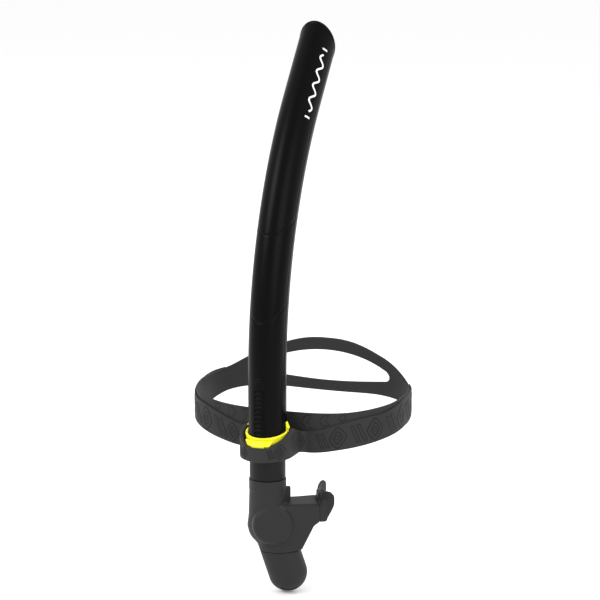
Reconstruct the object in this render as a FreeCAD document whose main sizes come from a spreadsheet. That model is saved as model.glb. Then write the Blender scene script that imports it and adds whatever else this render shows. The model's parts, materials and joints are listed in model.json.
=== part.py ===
"""Centre swim snorkel with a head strap, a height-adjusting clip and a swivelling mouthpiece.

Frame: millimetres, +Z up, -Y forward (away from the face), +X to the swimmer's left-hand side
as seen from the front.  The origin is the centre of the head loop, level with the clip.
"""
import FreeCAD, Part
import math
import os
import Sketcher

from FreeCAD import Placement, Rotation, Vector

doc = FreeCAD.newDocument("Snorkel")

# ----------------------------------------------------------------------------------------------
# Driving dimensions
# ----------------------------------------------------------------------------------------------
DIMENSIONS = {
    # head loop, a rounded oval ring of silicone
    "loop_width": 174.0, "loop_depth": 115.0, "loop_power": 2.6, "strap_thick": 2.0,
    "window_half": 58.0, "window_low": 9.5, "window_low_end": 15.0,
    "window_high": 35.0, "window_high_end": 21.0, "window_round": 2.6,
    # front band that wraps the clip
    "band_thick": 1.3, "band_reach": 116.0, "wrap_half_width": 21.1, "wrap_front": 24.6,
    "wrap_side_wall": 3.4, "wrap_front_wall": 1.9, "wrap_floor": -20.0, "wrap_fillet": 6.0,
    "wrap_top": 1.2, "wrap_rise": 0.36, "wrap_rear_top": 3.7, "wrap_fall": -0.37,
    "dip_half": 9.9, "dip_half_top": 13.4, "dip_floor": -8.4, "dip_roof": -3.4,
    # tube
    "tube_ahead": 77.0, "tube_half_width": 14.6, "tube_half_depth": 17.0, "tube_wall": 2.0,
    "tube_floor": -18.0, "tube_straight": 42.0, "bend_radius": 325.0, "bend_angle": 39.7,
    "tube_tail": 72.0, "tip_length": 55.5, "tip_cut_angle": 29.0, "lip_grow": 0.7, "lip_height": 2.4,
    "notch_pitch": 3.65, "notch_height": 1.8, "notch_width": 9.3, "notch_depth": 0.9,
    "notch_first": -14.5, "notch_count": 14, "stop_rib_level": 42.0, "stop_rib_height": 2.4,
    "stop_rib_proud": 0.9,
    # clip on the tube
    "clip_gap": 0.3, "clip_wall": 1.4, "clip_floor": -18.8, "clip_top": 0.5, "clip_slope": 0.14,
    "rim_grow": 0.5, "rim_thick": 1.2, "rear_top": -1.2,
    "ear_front": 0.5, "ear_back": 4.5, "ear_top": 7.7, "ear_stem": 0.95, "ear_barb": 2.25,
    "barb_level": 2.9, "barb_under": 2.4,
    "window_side": 5.9, "window_floor": -17.0, "window_roof": -9.6,
    "lug_thick": 2.0, "pin_level": -12.2, "pin_front": 20.1, "pin_radius": 0.6,
    "pin_gap": 0.06, "pin_half": 7.1,
    "lever_inner": 1.5, "lever_thick": 1.8, "lever_half": 9.3, "lever_half_top": 11.6,
    "lever_neck": 5.4, "lever_top": -3.9, "lever_shoulder": -8.2, "lever_floor": -16.4,
    "hub_radius": 1.3, "tooth_tip": 0.35, "tooth_height": 1.3, "grip_height": 0.5,
    "spring_wire": 0.22, "spring_pitch": 0.42, "spring_turns": 5,
    # connector and swivel
    "band_radius": 14.1, "connector_floor": -56.4, "band_floor": -38.0, "spigot_radius": 12.0,
    "airway_radius": 10.0, "plug_top": -7.0, "plug_gap": 0.1, "taper_floor": -24.5,
    "bush_top": -39.2, "bush_floor": -52.0, "bush_radius": 13.0, "swivel_gap": 0.05,
    "seal_level": -45.6, "seal_major": 11.42, "seal_minor": 0.52, "snap_level": -52.4,
    "snap_thick": 1.3, "snap_radius": 12.75, "groove_radius": 11.0,
    # mouthpiece, measured in its own frame with the mouth towards +Y
    "swivel_rest": 60.0, "sleeve_radius": 14.65, "sleeve_top": -38.3, "skin": 2.0,
    "bowl_level": -77.0, "bowl_radius": 16.0, "bowl_half_width": 16.4,
    "sump_start": 3.2, "sump_run": 16.0, "sump_level": -116.6, "sump_radius": 15.4,
    "sump_half_width": 12.4, "neck_roof": -58.0, "neck_round": 3.4,
    "neck_start": 4.0, "neck_start_half": 12.6, "neck_start_floor": -96.0,
    "neck_knee": 25.5, "neck_knee_half": 13.6, "neck_knee_floor": -95.5,
    "neck_heel": 34.8, "neck_heel_half": 14.6, "neck_heel_floor": -76.5,
    "neck_end": 39.2, "neck_end_half": 15.2, "neck_end_floor": -73.0,
    "split_level": -97.3, "rib_floor": -58.0, "rib_top": -46.4, "rib_half": 2.2,
    "rib_proud": 3.4,
    # lip flange
    "flange_face": 39.4, "flange_thick": 2.4, "flange_sweep_radius": 26.0,
    "port_half_width": 10.5, "port_half_height": 4.7, "port_level": -64.3, "port_round": 4.2,
    "bite_offset": 13.4, "bite_end": 47.4, "bite_width": 3.4, "bite_level": -59.0,
    "bite_half_height": 4.2, "bite_ridge": 0.9, "bite_ridge_length": 2.2,
    # purge valve
    "seat_thick": 1.8, "seat_hole": 7.6, "hub_outer": 2.4, "stem_radius": 1.2, "stem_gap": 0.08,
    "spoke_width": 1.6, "membrane_radius": 8.6, "membrane_thick": 0.8, "membrane_gap": 0.3,
    "stem_length": 5.6, "stem_head": 1.8, "slot_count": 4, "slot_width": 2.2,
    "slot_length": 13.0, "slot_pitch": 4.6,
}

sheet = doc.addObject("Spreadsheet::Sheet", "dims")
for row, (alias, value) in enumerate(DIMENSIONS.items(), start=1):
    sheet.set(f"A{row}", alias)
    sheet.set(f"B{row}", str(value))
    sheet.setAlias(f"B{row}", alias)
doc.recompute()


def dim(alias):
    """Value of one cell of the sheet."""
    return float(sheet.get(alias))


PARTS = {}
TUBE_PLACE = Placement(Vector(0, -dim("tube_ahead"), 0), Rotation())
MOUTH_PLACE = Placement(Vector(0, -dim("tube_ahead"), 0),
                        Rotation(Vector(0, 0, 1), -dim("swivel_rest")))


def keep(label, obj, placement=None):
    """Name a finished sub-part and put it in its place."""
    obj.Label = label
    if placement is not None:
        obj.Placement = placement
    PARTS[label] = obj
    return obj


def feature(label, shape, placement=None):
    """A sub-part whose shape comes straight from Part's own functions."""
    obj = doc.addObject("Part::Feature", label)
    obj.Shape = shape
    return keep(label, obj, placement)


def primitive(kind, name, **sizes):
    """A Part primitive with every size bound to the sheet."""
    obj = doc.addObject(kind, name)
    for prop, expression in sizes.items():
        obj.setExpression(prop.replace("_", "."), expression)
    return obj


def ring_body(label, inner, outer, floor, top, placement):
    """A flat-sided ring turned about Z, sketched as one half section."""
    body = doc.addObject("PartDesign::Body", label)
    sketch = body.newObject("Sketcher::SketchObject", label + "_section")
    plane = [f for f in body.Origin.OriginFeatures if f.Role == "XZ_Plane"][0]
    sketch.AttachmentSupport = [(plane, "")]
    sketch.MapMode = "FlatFace"
    corners = [Vector(1, 1, 0), Vector(2, 1, 0), Vector(2, 2, 0), Vector(1, 2, 0)]
    for here, there in zip(corners, corners[1:] + corners[:1]):
        sketch.addGeometry(Part.LineSegment(here, there), False)
    for line in range(4):
        sketch.addConstraint(Sketcher.Constraint("Coincident", line, 2, (line + 1) % 4, 1))
    for line, way in ((0, "Horizontal"), (1, "Vertical"), (2, "Horizontal"), (3, "Vertical")):
        sketch.addConstraint(Sketcher.Constraint(way, line))
    for name, point, axis, expression in (
            ("inner", (0, 1), "DistanceX", inner), ("outer", (1, 2), "DistanceX", outer),
            ("floor", (0, 1), "DistanceY", floor), ("top", (2, 1), "DistanceY", top)):
        number = sketch.addConstraint(Sketcher.Constraint(axis, -1, 1, point[0], point[1], 1.5))
        sketch.renameConstraint(number, name)
        sketch.setExpression("Constraints." + name, expression)
    turn = body.newObject("PartDesign::Revolution", label + "_turn")
    turn.Profile = sketch
    turn.ReferenceAxis = (sketch, ["V_Axis"])
    turn.Angle = 360.0
    return keep(label, body, placement)


# ----------------------------------------------------------------------------------------------
# Geometry helpers
# ----------------------------------------------------------------------------------------------
def oval_wire(half_x, half_y, level=0.0, centre=(0.0, 0.0)):
    """An ellipse in a level plane, whichever half-axis is the longer."""
    middle = Vector(centre[0], centre[1], level)
    if half_x >= half_y:
        curve = Part.Ellipse(middle + Vector(half_x, 0, 0), middle + Vector(0, half_y, 0), middle)
    else:
        curve = Part.Ellipse(middle + Vector(0, half_y, 0), middle - Vector(half_x, 0, 0), middle)
    return Part.Wire([curve.toShape()])


def oval_prism(half_x, half_y, floor, top, centre=(0.0, 0.0)):
    face = Part.Face(oval_wire(half_x, half_y, floor, centre))
    return face.extrude(Vector(0, 0, top - floor))


def slab(low, high):
    """A box from its lowest and highest corners."""
    size = [b - a for a, b in zip(low, high)]
    return Part.makeBox(size[0], size[1], size[2], Vector(*low))


def below_slope(level, slope, reach=60.0, depth=120.0):
    """Everything under the plane z = level + slope * y, as a block."""
    corners = [(-reach, level - slope * reach), (reach, level + slope * reach),
               (reach, level - depth), (-reach, level - depth)]
    points = [Vector(-reach, y, z) for y, z in corners]
    face = Part.Face(Part.makePolygon(points + points[:1]))
    return face.extrude(Vector(2 * reach, 0, 0))


def tab_prism(half, half_top, floor, roof, axis_y=0.0):
    """A block in front of the tube's axis whose ends slant outwards to the top."""
    corners = [(-dim(half), dim(floor)), (dim(half), dim(floor)), (dim(half_top), dim(roof)),
               (-dim(half_top), dim(roof))]
    points = [Vector(x, axis_y, z) for x, z in corners]
    return Part.Face(Part.makePolygon(points + points[:1])).extrude(Vector(0, -30, 0))


def loop_point(angle, outset, level):
    """Point of the head loop's plan, angle from the front in degrees, moved outwards."""
    turn = math.radians(angle)
    half_x = dim("loop_width") / 2 + outset
    half_y = dim("loop_depth") / 2 + outset
    power = 2.0 / dim("loop_power")
    across, ahead = math.sin(turn), math.cos(turn)
    x = math.copysign(abs(across) ** power, across) * half_x
    y = -math.copysign(abs(ahead) ** power, ahead) * half_y
    return Vector(x, y, level)


def height_at(keys, angle):
    """Height of a strap edge between hand-set (angle, height) keys, eased from key to key."""
    angle = abs((angle + 180.0) % 360.0 - 180.0)
    for (a0, h0), (a1, h1) in zip(keys, keys[1:]):
        if angle <= a1:
            part = (angle - a0) / (a1 - a0)
            slope = (h1 - h0) * part
            ease = (h1 - h0) * part * part * (3 - 2 * part)
            return h0 + 0.5 * (slope + ease)
    return keys[-1][1]


STRAP_TOP = [(0, 11.0), (30, 11.8), (60, 15.0), (90, 17.5), (120, 20.5), (150, 34.3), (180, 45.6)]
STRAP_FLOOR = [(0, -20.6), (15, -20.9), (30, -17.6), (60, -11.3), (90, -6.6), (120, 0.0),
               (150, 1.9), (180, 0.3)]
BAND_TOP = [(0, -3.4), (15, -2.6), (30, 3.6), (45, 8.0), (60, 9.8), (75, 13.0), (90, 16.9),
            (120, 19.9)]
LOOP_STEPS = 36


def closed_curve(points):
    curve = Part.BSplineCurve()
    curve.interpolate(points, PeriodicFlag=True)
    return curve.toShape()


def open_curve(points):
    curve = Part.BSplineCurve()
    curve.interpolate(points)
    return curve.toShape()


def solid_from(faces):
    shell = Part.Shell(faces)
    shell.sewShape()
    solid = Part.Solid(shell)
    if solid.Volume < 0:
        solid.reverse()
    return solid


def strap_ring(outset_inner, outset_outer, top_keys, floor_keys):
    """A closed band that follows the head loop, with free top and bottom edges."""
    angles = [360.0 * step / LOOP_STEPS for step in range(LOOP_STEPS)]
    edges = {}
    for side, outset in (("in", outset_inner), ("out", outset_outer)):
        for end, keys in (("top", top_keys), ("floor", floor_keys)):
            edges[side, end] = closed_curve(
                [loop_point(a, outset, height_at(keys, a)) for a in angles])
    return solid_from([
        Part.makeRuledSurface(edges["out", "floor"], edges["out", "top"]),
        Part.makeRuledSurface(edges["in", "floor"], edges["in", "top"]),
        Part.makeRuledSurface(edges["in", "top"], edges["out", "top"]),
        Part.makeRuledSurface(edges["in", "floor"], edges["out", "floor"])])


def strap_arc(start, end, outset_inner, outset_outer, top_keys, floor_keys, steps=22):
    """One arm of a band that lies on the head loop between two angles."""
    angles = [start + (end - start) * step / steps for step in range(steps + 1)]
    edges = {}
    for side, outset in (("in", outset_inner), ("out", outset_outer)):
        for level, keys in (("top", top_keys), ("floor", floor_keys)):
            edges[side, level] = open_curve(
                [loop_point(a, outset, height_at(keys, a)) for a in angles])
    faces = [
        Part.makeRuledSurface(edges["out", "floor"], edges["out", "top"]),
        Part.makeRuledSurface(edges["in", "floor"], edges["in", "top"]),
        Part.makeRuledSurface(edges["in", "top"], edges["out", "top"]),
        Part.makeRuledSurface(edges["in", "floor"], edges["out", "floor"])]
    for angle in (start, end):
        corners = [loop_point(angle, outset_inner, height_at(floor_keys, angle)),
                   loop_point(angle, outset_outer, height_at(floor_keys, angle)),
                   loop_point(angle, outset_outer, height_at(top_keys, angle)),
                   loop_point(angle, outset_inner, height_at(top_keys, angle))]
        faces.append(Part.Face(Part.makePolygon(corners + corners[:1])))
    return solid_from(faces)


# ----------------------------------------------------------------------------------------------
# Head strap: one silicone ring whose back parts into an upper and a lower band
# ----------------------------------------------------------------------------------------------
def back_window():
    """The lens-shaped gap between the two back bands, as a block that goes through them."""
    half, front, back = dim("window_half"), 20.0, 80.0
    low_end = Vector(half, front, dim("window_low_end"))
    high_end = Vector(half, front, dim("window_high_end"))
    low_start = Vector(-half, front, low_end.z)
    high_start = Vector(-half, front, high_end.z)
    low = Part.Arc(low_start, Vector(0, front, dim("window_low")), low_end).toShape()
    high = Part.Arc(high_end, Vector(0, front, dim("window_high")), high_start).toShape()
    outline = Part.Wire([low, Part.LineSegment(low_end, high_end).toShape(), high,
                         Part.LineSegment(high_start, low_start).toShape()])
    block = Part.Face(outline).extrude(Vector(0, back - front, 0))
    corners = [e for e in block.Edges if abs(abs(e.CenterOfMass.x) - half) < 0.01
               and abs(e.CenterOfMass.y - (front + back) / 2) < 0.01]
    return block.makeFillet(dim("window_round"), corners)


def make_head_strap():
    ring = strap_ring(-dim("strap_thick"), 0.0, STRAP_TOP, STRAP_FLOOR)
    return feature("head_strap", ring.cut(back_window()))


def make_front_band():
    """The outer layer: an arm along each side of the loop, and a wrap round the clip."""
    thick, side_wall, front_wall = dim("band_thick"), dim("wrap_side_wall"), dim("wrap_front_wall")
    half_x, front = dim("wrap_half_width"), dim("wrap_front")
    axis_y = -dim("tube_ahead")
    face_y = -dim("loop_depth") / 2
    floor, height = dim("wrap_floor"), 60.0

    def u_prism(side, nose):
        """A half oval in front and straight sides back to the strap."""
        oval = oval_prism(side, nose, floor, floor + height, (0, axis_y))
        sides = slab((-side, axis_y, floor), (side, face_y, floor + height))
        ahead = slab((-40, axis_y - 40, floor), (40, axis_y, floor + height))
        return oval.common(ahead).fuse(sides)

    # concave fillets where the wrap's sides meet the strap
    bend = dim("wrap_fillet")
    fillets = []
    for side in (1, -1):
        near, far = sorted((side * (half_x - side_wall / 2), side * (half_x + bend)))
        block = slab((near, face_y - bend, floor), (far, face_y, floor + height))
        round_off = Part.makeCylinder(bend, height, Vector(side * (half_x + bend),
                                                           face_y - bend, floor))
        fillets.append(block.cut(round_off))

    wrap = u_prism(half_x, front).fuse(fillets)
    wrap = wrap.cut(u_prism(half_x - side_wall, front - front_wall))
    for level, slope in (("wrap_top", "wrap_rise"), ("wrap_rear_top", "wrap_fall")):
        block = below_slope(dim(level), dim(slope))
        block.translate(Vector(0, axis_y, 0))
        wrap = wrap.common(block)
    wrap = wrap.cut(tab_prism("dip_half", "dip_half_top", "dip_floor", "dip_roof", axis_y))
    start = math.degrees(math.asin((half_x / (dim("loop_width") / 2)) ** (dim("loop_power") / 2)))
    arms = [strap_arc(side * (start - 1.0), side * dim("band_reach"), 0.02, thick,
                      BAND_TOP, STRAP_FLOOR) for side in (1, -1)]
    return feature("front_band", wrap.fuse(arms).removeSplitter())


# ----------------------------------------------------------------------------------------------
# Tube: an oval tube, straight through the clip, then one long bend over the head
# ----------------------------------------------------------------------------------------------
def tube_path(floor):
    """Centre line: a straight run, a tangent arc and a straight tail, leaning back (+Y)."""
    straight, radius = dim("tube_straight"), dim("bend_radius")
    angle, tail = math.radians(dim("bend_angle")), dim("tube_tail")

    def on_bend(a):
        return Vector(0, radius * (1 - math.cos(a)), straight + radius * math.sin(a))

    foot, knee, end = Vector(0, 0, floor), Vector(0, 0, straight), on_bend(angle)
    tip = end + Vector(0, math.sin(angle), math.cos(angle)) * tail
    wire = Part.Wire([Part.LineSegment(foot, knee).toShape(),
                      Part.Arc(knee, on_bend(angle / 2), end).toShape(),
                      Part.LineSegment(end, tip).toShape()])
    return wire, tip, angle


def swept_oval(half_x, half_y, floor):
    wire, _, _ = tube_path(floor)
    return wire.makePipeShell([oval_wire(half_x, half_y, floor)], True, False)


def make_snorkel_tube():
    half_x, half_y = dim("tube_half_width"), dim("tube_half_depth")
    wall, floor = dim("tube_wall"), dim("tube_floor")
    _, tip, lean = tube_path(floor)
    outer = swept_oval(half_x, half_y, floor)
    airway = swept_oval(half_x - wall, half_y - wall, floor - 2.0)

    # the open end is cut on the slant, so that its front wall stands above its back wall
    cut_turn = lean + math.radians(dim("tip_cut_angle"))
    spare = dim("tube_tail") - dim("tip_length")
    middle = tip - Vector(0, math.sin(lean), math.cos(lean)) * spare
    cutter = Part.makeBox(120, 120, 120, Vector(-60, -60, 0))
    cutter.Placement = Placement(middle, Rotation(Vector(1, 0, 0), -math.degrees(cut_turn)))
    outer = outer.cut(cutter)

    # a rolled lip a little wider than the tube, under the cut
    lip_zone = Part.makeBox(120, 120, dim("lip_height"), Vector(-60, -60, -dim("lip_height")))
    lip_zone.Placement = cutter.Placement
    grow = dim("lip_grow")
    lip = swept_oval(half_x + grow, half_y + grow, floor).common(lip_zone)
    tube = outer.fuse(lip).cut(airway)

    # the ladder of notches that the clip's tooth catches, and the rib that ends its travel
    depth, width = dim("notch_depth"), dim("notch_width")
    notches = []
    for index in range(int(dim("notch_count"))):
        low = dim("notch_first") + index * dim("notch_pitch")
        notches.append(slab((-width / 2, -half_y - 2, low),
                            (width / 2, -half_y + depth, low + dim("notch_height"))))
    tube = tube.cut(notches)
    level = dim("stop_rib_level")
    rib = slab((-width / 2, -half_y - dim("stop_rib_proud"), level),
               (width / 2, -half_y + 1.0, level + dim("stop_rib_height")))
    return feature("snorkel_tube", tube.fuse(rib).removeSplitter(), TUBE_PLACE)


# ----------------------------------------------------------------------------------------------
# Clip: a sleeve on the tube with a slanting rim, and a latch lever on a pin in front
# ----------------------------------------------------------------------------------------------
def clip_size(grow):
    """Half-axes of the clip's bore, grown outwards."""
    gap = dim("clip_gap")
    return dim("tube_half_width") + gap + grow, dim("tube_half_depth") + gap + grow


def make_tube_clip():
    wall, floor, top = dim("clip_wall"), dim("clip_floor"), dim("clip_top")
    slope, high = dim("clip_slope"), 40.0
    sleeve = oval_prism(*clip_size(wall), floor, high)
    rim = oval_prism(*clip_size(wall + dim("rim_grow")), floor, high)
    rim = rim.cut(below_slope(top - dim("rim_thick"), slope))
    body = sleeve.fuse(rim).common(below_slope(top, slope))
    body = body.cut(slab((-30, dim("ear_back"), dim("rear_top")), (30, 40, 40)))

    # side ears above the rim, barbed so that they keep the strap's wrap down
    inner = clip_size(0.05)[0]
    stem, barb = inner + dim("ear_stem"), inner + dim("ear_barb")
    profile = [(inner, top - 1.5), (inner, dim("ear_top")), (barb, dim("barb_level")),
               (stem, dim("barb_under")), (stem, top - 1.5)]
    for side in (1, -1):
        points = [Vector(side * x, dim("ear_front"), z) for x, z in profile]
        ear = Part.Face(Part.makePolygon(points + points[:1]))
        body = body.fuse(ear.extrude(Vector(0, dim("ear_back") - dim("ear_front"), 0)))

    # lugs that carry the lever's pin, one each side of the window
    side, level = dim("window_side"), dim("pin_level")
    shell_outer = oval_prism(*clip_size(wall + dim("lever_inner") + dim("lever_thick")), -30, 10)
    for sign in (1, -1):
        near, far = sorted((sign * side, sign * (side + dim("lug_thick"))))
        lug = slab((near, -24, level - 1.9), (far, -10, level + 1.9))
        body = body.fuse(lug.common(shell_outer))
    body = body.cut(oval_prism(*clip_size(0), -60, 60))
    body = body.cut(slab((-side, -30, dim("window_floor")), (side, 0, dim("window_roof"))))
    strap_face = dim("tube_ahead") - dim("loop_depth") / 2
    body = body.cut(slab((-30, strap_face - 0.1, -30), (30, strap_face + 10, 30)))
    hole = Part.makeCylinder(dim("pin_radius"), 40, Vector(-20, -dim("pin_front"), level),
                             Vector(1, 0, 0))
    return feature("tube_clip", body.cut(hole).removeSplitter(), TUBE_PLACE)


def make_latch_lever():
    inner = dim("clip_wall") + dim("lever_inner")
    half, neck = dim("lever_half"), dim("lever_neck")
    face_y = clip_size(inner + dim("lever_thick") / 2)[1]
    level, front = dim("pin_level"), dim("pin_front")
    shell = oval_prism(*clip_size(inner + dim("lever_thick")), dim("lever_floor"),
                       dim("lever_top"))
    shell = shell.cut(oval_prism(*clip_size(inner), -30, 10))
    tab = tab_prism("lever_half", "lever_half_top", "lever_shoulder", "lever_top")
    stem = slab((-neck, -30, dim("lever_floor")), (neck, 0, dim("lever_shoulder")))
    lever = shell.common(tab.fuse(stem))
    hub = Part.makeCylinder(dim("hub_radius"), 2 * neck, Vector(-neck, -front, level),
                            Vector(1, 0, 0))
    tip = clip_size(0)[1] - dim("clip_gap") + dim("tooth_tip")
    tooth = slab((-3.6, -front, dim("lever_floor")),
                 (3.6, -tip, dim("lever_floor") + dim("tooth_height")))
    grip = [slab((-half + 1.5, -30, dim("lever_top") - drop),
                 (half - 1.5, -face_y, dim("lever_top") - drop + dim("grip_height")))
            for drop in (1.5, 2.8)]
    hole = Part.makeCylinder(dim("pin_radius") + dim("pin_gap"), 40,
                             Vector(-20, -front, level), Vector(1, 0, 0))
    room = slab((-1.5, -front - 1.2, level - 1.75), (1.5, 0, level + 1.75))
    lever = lever.fuse([hub, tooth]).cut([hole, room] + grip)
    return feature("latch_lever", lever.removeSplitter(), TUBE_PLACE)


def make_latch_pin():
    pin = primitive("Part::Cylinder", "latch_pin", Radius="dims.pin_radius",
                    Height="2 * dims.pin_half")
    start = Vector(-dim("pin_half"), -dim("tube_ahead") - dim("pin_front"), dim("pin_level"))
    return keep("latch_pin", pin, Placement(start, Rotation(Vector(0, 1, 0), 90)))


def make_latch_spring():
    """A small torsion spring on the pin: close turns, drawn as touching rings, and a tail."""
    wire = dim("spring_wire")
    axis_point = Vector(0, -dim("pin_front"), dim("pin_level"))
    turns = []
    count = int(dim("spring_turns"))
    for index in range(count):
        x = (index - (count - 1) / 2) * dim("spring_pitch")
        turns.append(Part.makeTorus(dim("pin_radius") + wire + 0.02, wire,
                                    axis_point + Vector(x, 0, 0), Vector(1, 0, 0)))
    tail = Part.makeCylinder(wire, 2.1, axis_point + Vector(0, 0.85, 0), Vector(0, 0, -1))
    spring = turns[0].fuse(turns[1:] + [tail])
    return feature("latch_spring", spring, TUBE_PLACE)


# ----------------------------------------------------------------------------------------------
# Connector: an oval plug in the tube's foot that turns into a round swivel spigot
# ----------------------------------------------------------------------------------------------
def make_tube_connector():
    wall, gap = dim("tube_wall"), dim("plug_gap")
    half_x, half_y = dim("tube_half_width"), dim("tube_half_depth")
    foot, taper = dim("tube_floor"), dim("taper_floor")
    band, floor = dim("band_radius"), dim("connector_floor")
    plug = oval_prism(half_x - wall - gap, half_y - wall - gap, foot, dim("plug_top"))
    cone = Part.makeCone(band, half_y + 1.0, foot - taper, Vector(0, 0, taper))
    shoulder = oval_prism(half_x, half_y, taper, foot).common(cone)
    round_band = Part.makeCylinder(band, taper - dim("band_floor"),
                                   Vector(0, 0, dim("band_floor")))
    spigot = Part.makeCylinder(dim("spigot_radius"), dim("band_floor") - floor,
                               Vector(0, 0, floor))
    airway = Part.makeCylinder(dim("airway_radius"), 90, Vector(0, 0, floor - 5))
    body = plug.fuse([shoulder, round_band, spigot]).cut(airway)
    for level, half in ((dim("seal_level"), dim("seal_minor") + 0.1),
                        (dim("snap_level") - dim("snap_thick") / 2, dim("snap_thick") / 2)):
        outer = Part.makeCylinder(20, 2 * half, Vector(0, 0, level - half))
        core = Part.makeCylinder(dim("groove_radius") - 0.15, 2 * half,
                                 Vector(0, 0, level - half))
        body = body.cut(outer.cut(core))
    return feature("tube_connector", body.removeSplitter(), TUBE_PLACE)


def make_swivel_parts():
    ring_body("swivel_bush", "dims.spigot_radius + dims.swivel_gap", "dims.bush_radius",
              "dims.bush_floor", "dims.bush_top", MOUTH_PLACE)
    ring_body("snap_ring", "dims.groove_radius - 0.1", "dims.snap_radius",
              "dims.snap_level - dims.snap_thick + 0.05", "dims.snap_level - 0.05", TUBE_PLACE)
    seal = primitive("Part::Torus", "swivel_seal", Radius1="dims.seal_major",
                     Radius2="dims.seal_minor")
    keep("swivel_seal", seal, Placement(
        Vector(0, -dim("tube_ahead"), dim("seal_level")), Rotation()))


# ----------------------------------------------------------------------------------------------
# Mouthpiece: sleeve, bowl, neck towards the mouth and a leaning sump below
# ----------------------------------------------------------------------------------------------
def ellipsoid(centre, half_x, radius):
    """A ball squeezed across X."""
    ball = Part.makeSphere(radius)
    matrix = FreeCAD.Matrix()
    matrix.scale(half_x / radius, 1.0, 1.0)
    shape = ball.transformGeometry(matrix)
    shape.translate(centre)
    return shape


def sump_tube(half_x, radius):
    """The oval run from the bowl down to the sump's round end."""
    bowl = Vector(0, dim("sump_start"), dim("bowl_level"))
    end = Vector(0, dim("sump_run"), dim("sump_level"))
    along = end - bowl
    turn = Rotation(Vector(0, 0, -1), along)
    prism = oval_prism(half_x, radius, -along.Length, 0.0)
    prism.Placement = Placement(bowl, turn)
    return prism


def rounded_frame(y, half_x, floor, roof, radius):
    """A rounded rectangle standing in the plane y = constant."""
    corners = [(half_x, floor), (half_x, roof), (-half_x, roof), (-half_x, floor)]
    edges = []
    count = len(corners)
    bend = radius * (1 - math.sqrt(0.5))
    for index, (x, z) in enumerate(corners):
        sx, sz = math.copysign(1, x), (1 if z == roof else -1)
        along_z = Vector(x, y, z - sz * radius)
        along_x = Vector(x - sx * radius, y, z)
        middle = Vector(x - sx * bend, y, z - sz * bend)
        first, last = (along_z, along_x) if index % 2 else (along_x, along_z)
        edges.append((first, middle, last))
    wire = []
    for index, (first, middle, last) in enumerate(edges):
        wire.append(Part.Arc(first, middle, last).toShape())
        wire.append(Part.LineSegment(last, edges[(index + 1) % count][0]).toShape())
    return Part.Wire(wire)


def neck_solid(shrink, extra):
    """Level from the root to the knee, then rising to the lip flange underneath."""
    sections = []
    for station in ("neck_start", "neck_knee", "neck_heel", "neck_end"):
        half, floor = dim(station + "_half"), dim(station + "_floor")
        sections.append(rounded_frame(dim(station), half - shrink, floor + shrink,
                                      dim("neck_roof") - shrink,
                                      dim("neck_round") - shrink / 2))
    neck = Part.makeLoft(sections, True, True)
    if extra > 0:
        end = Part.Face(sections[-1])
        neck = neck.fuse(end.extrude(Vector(0, extra, 0)))
    return neck


def mouthpiece_outline(shrink):
    """The mouthpiece's outer form, or its inner one when shrunk by the skin."""
    bowl = ellipsoid(Vector(0, 0, dim("bowl_level")), dim("bowl_half_width") - shrink,
                     dim("bowl_radius") - shrink)
    sump = sump_tube(dim("sump_half_width") - shrink, dim("sump_radius") - shrink)
    tip = ellipsoid(Vector(0, dim("sump_run"), dim("sump_level")),
                    dim("sump_half_width") - shrink, dim("sump_radius") - shrink)
    floor = dim("bowl_level")
    sleeve = Part.makeCylinder(dim("sleeve_radius") - shrink, dim("sleeve_top") - floor,
                               Vector(0, 0, floor))
    return sleeve, bowl, sump, tip


def make_mouthpiece():
    skin, split = dim("skin"), dim("split_level")
    sleeve, bowl, sump, tip = mouthpiece_outline(0.0)
    outer = sleeve.fuse([bowl, sump, tip])
    sleeve, bowl, sump, tip = mouthpiece_outline(skin)
    hollow = sleeve.fuse([bowl, sump, tip])
    under = slab((-60, -60, -200), (60, 60, split))

    # body, above the split
    room_floor = dim("snap_level") - dim("snap_thick") - 0.6
    bush_room = Part.makeCylinder(dim("bush_radius"), dim("sleeve_top") - room_floor + 1,
                                  Vector(0, 0, room_floor))
    rib = slab((-dim("rib_half"), 10, dim("rib_floor")),
               (dim("rib_half"), dim("sleeve_radius") + dim("rib_proud"), dim("rib_top")))
    body = outer.fuse([neck_solid(0.0, 0.0), rib])
    body = body.cut([hollow, neck_solid(skin, 1.0), bush_room, under])
    feature("mouthpiece_body", body.removeSplitter(), MOUTH_PLACE)

    # purge cover, below the split, with drain slots through its front and underside
    cover = outer.common(under).cut(hollow)
    centre = dim("sump_run")
    slots = []
    for index in range(int(dim("slot_count"))):
        x = (index - (dim("slot_count") - 1) / 2) * dim("slot_pitch")
        slots.append(slab((x - dim("slot_width") / 2, centre - dim("slot_length") / 2, -150),
                          (x + dim("slot_width") / 2, centre + dim("slot_length") / 2,
                           dim("sump_level") - 4)))
    feature("purge_cover", cover.cut(slots).removeSplitter(), MOUTH_PLACE)


def sump_centre(level):
    """Y of the sump's centre line at a level."""
    share = (dim("bowl_level") - level) / (dim("bowl_level") - dim("sump_level"))
    return dim("sump_start") + share * (dim("sump_run") - dim("sump_start"))


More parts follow.
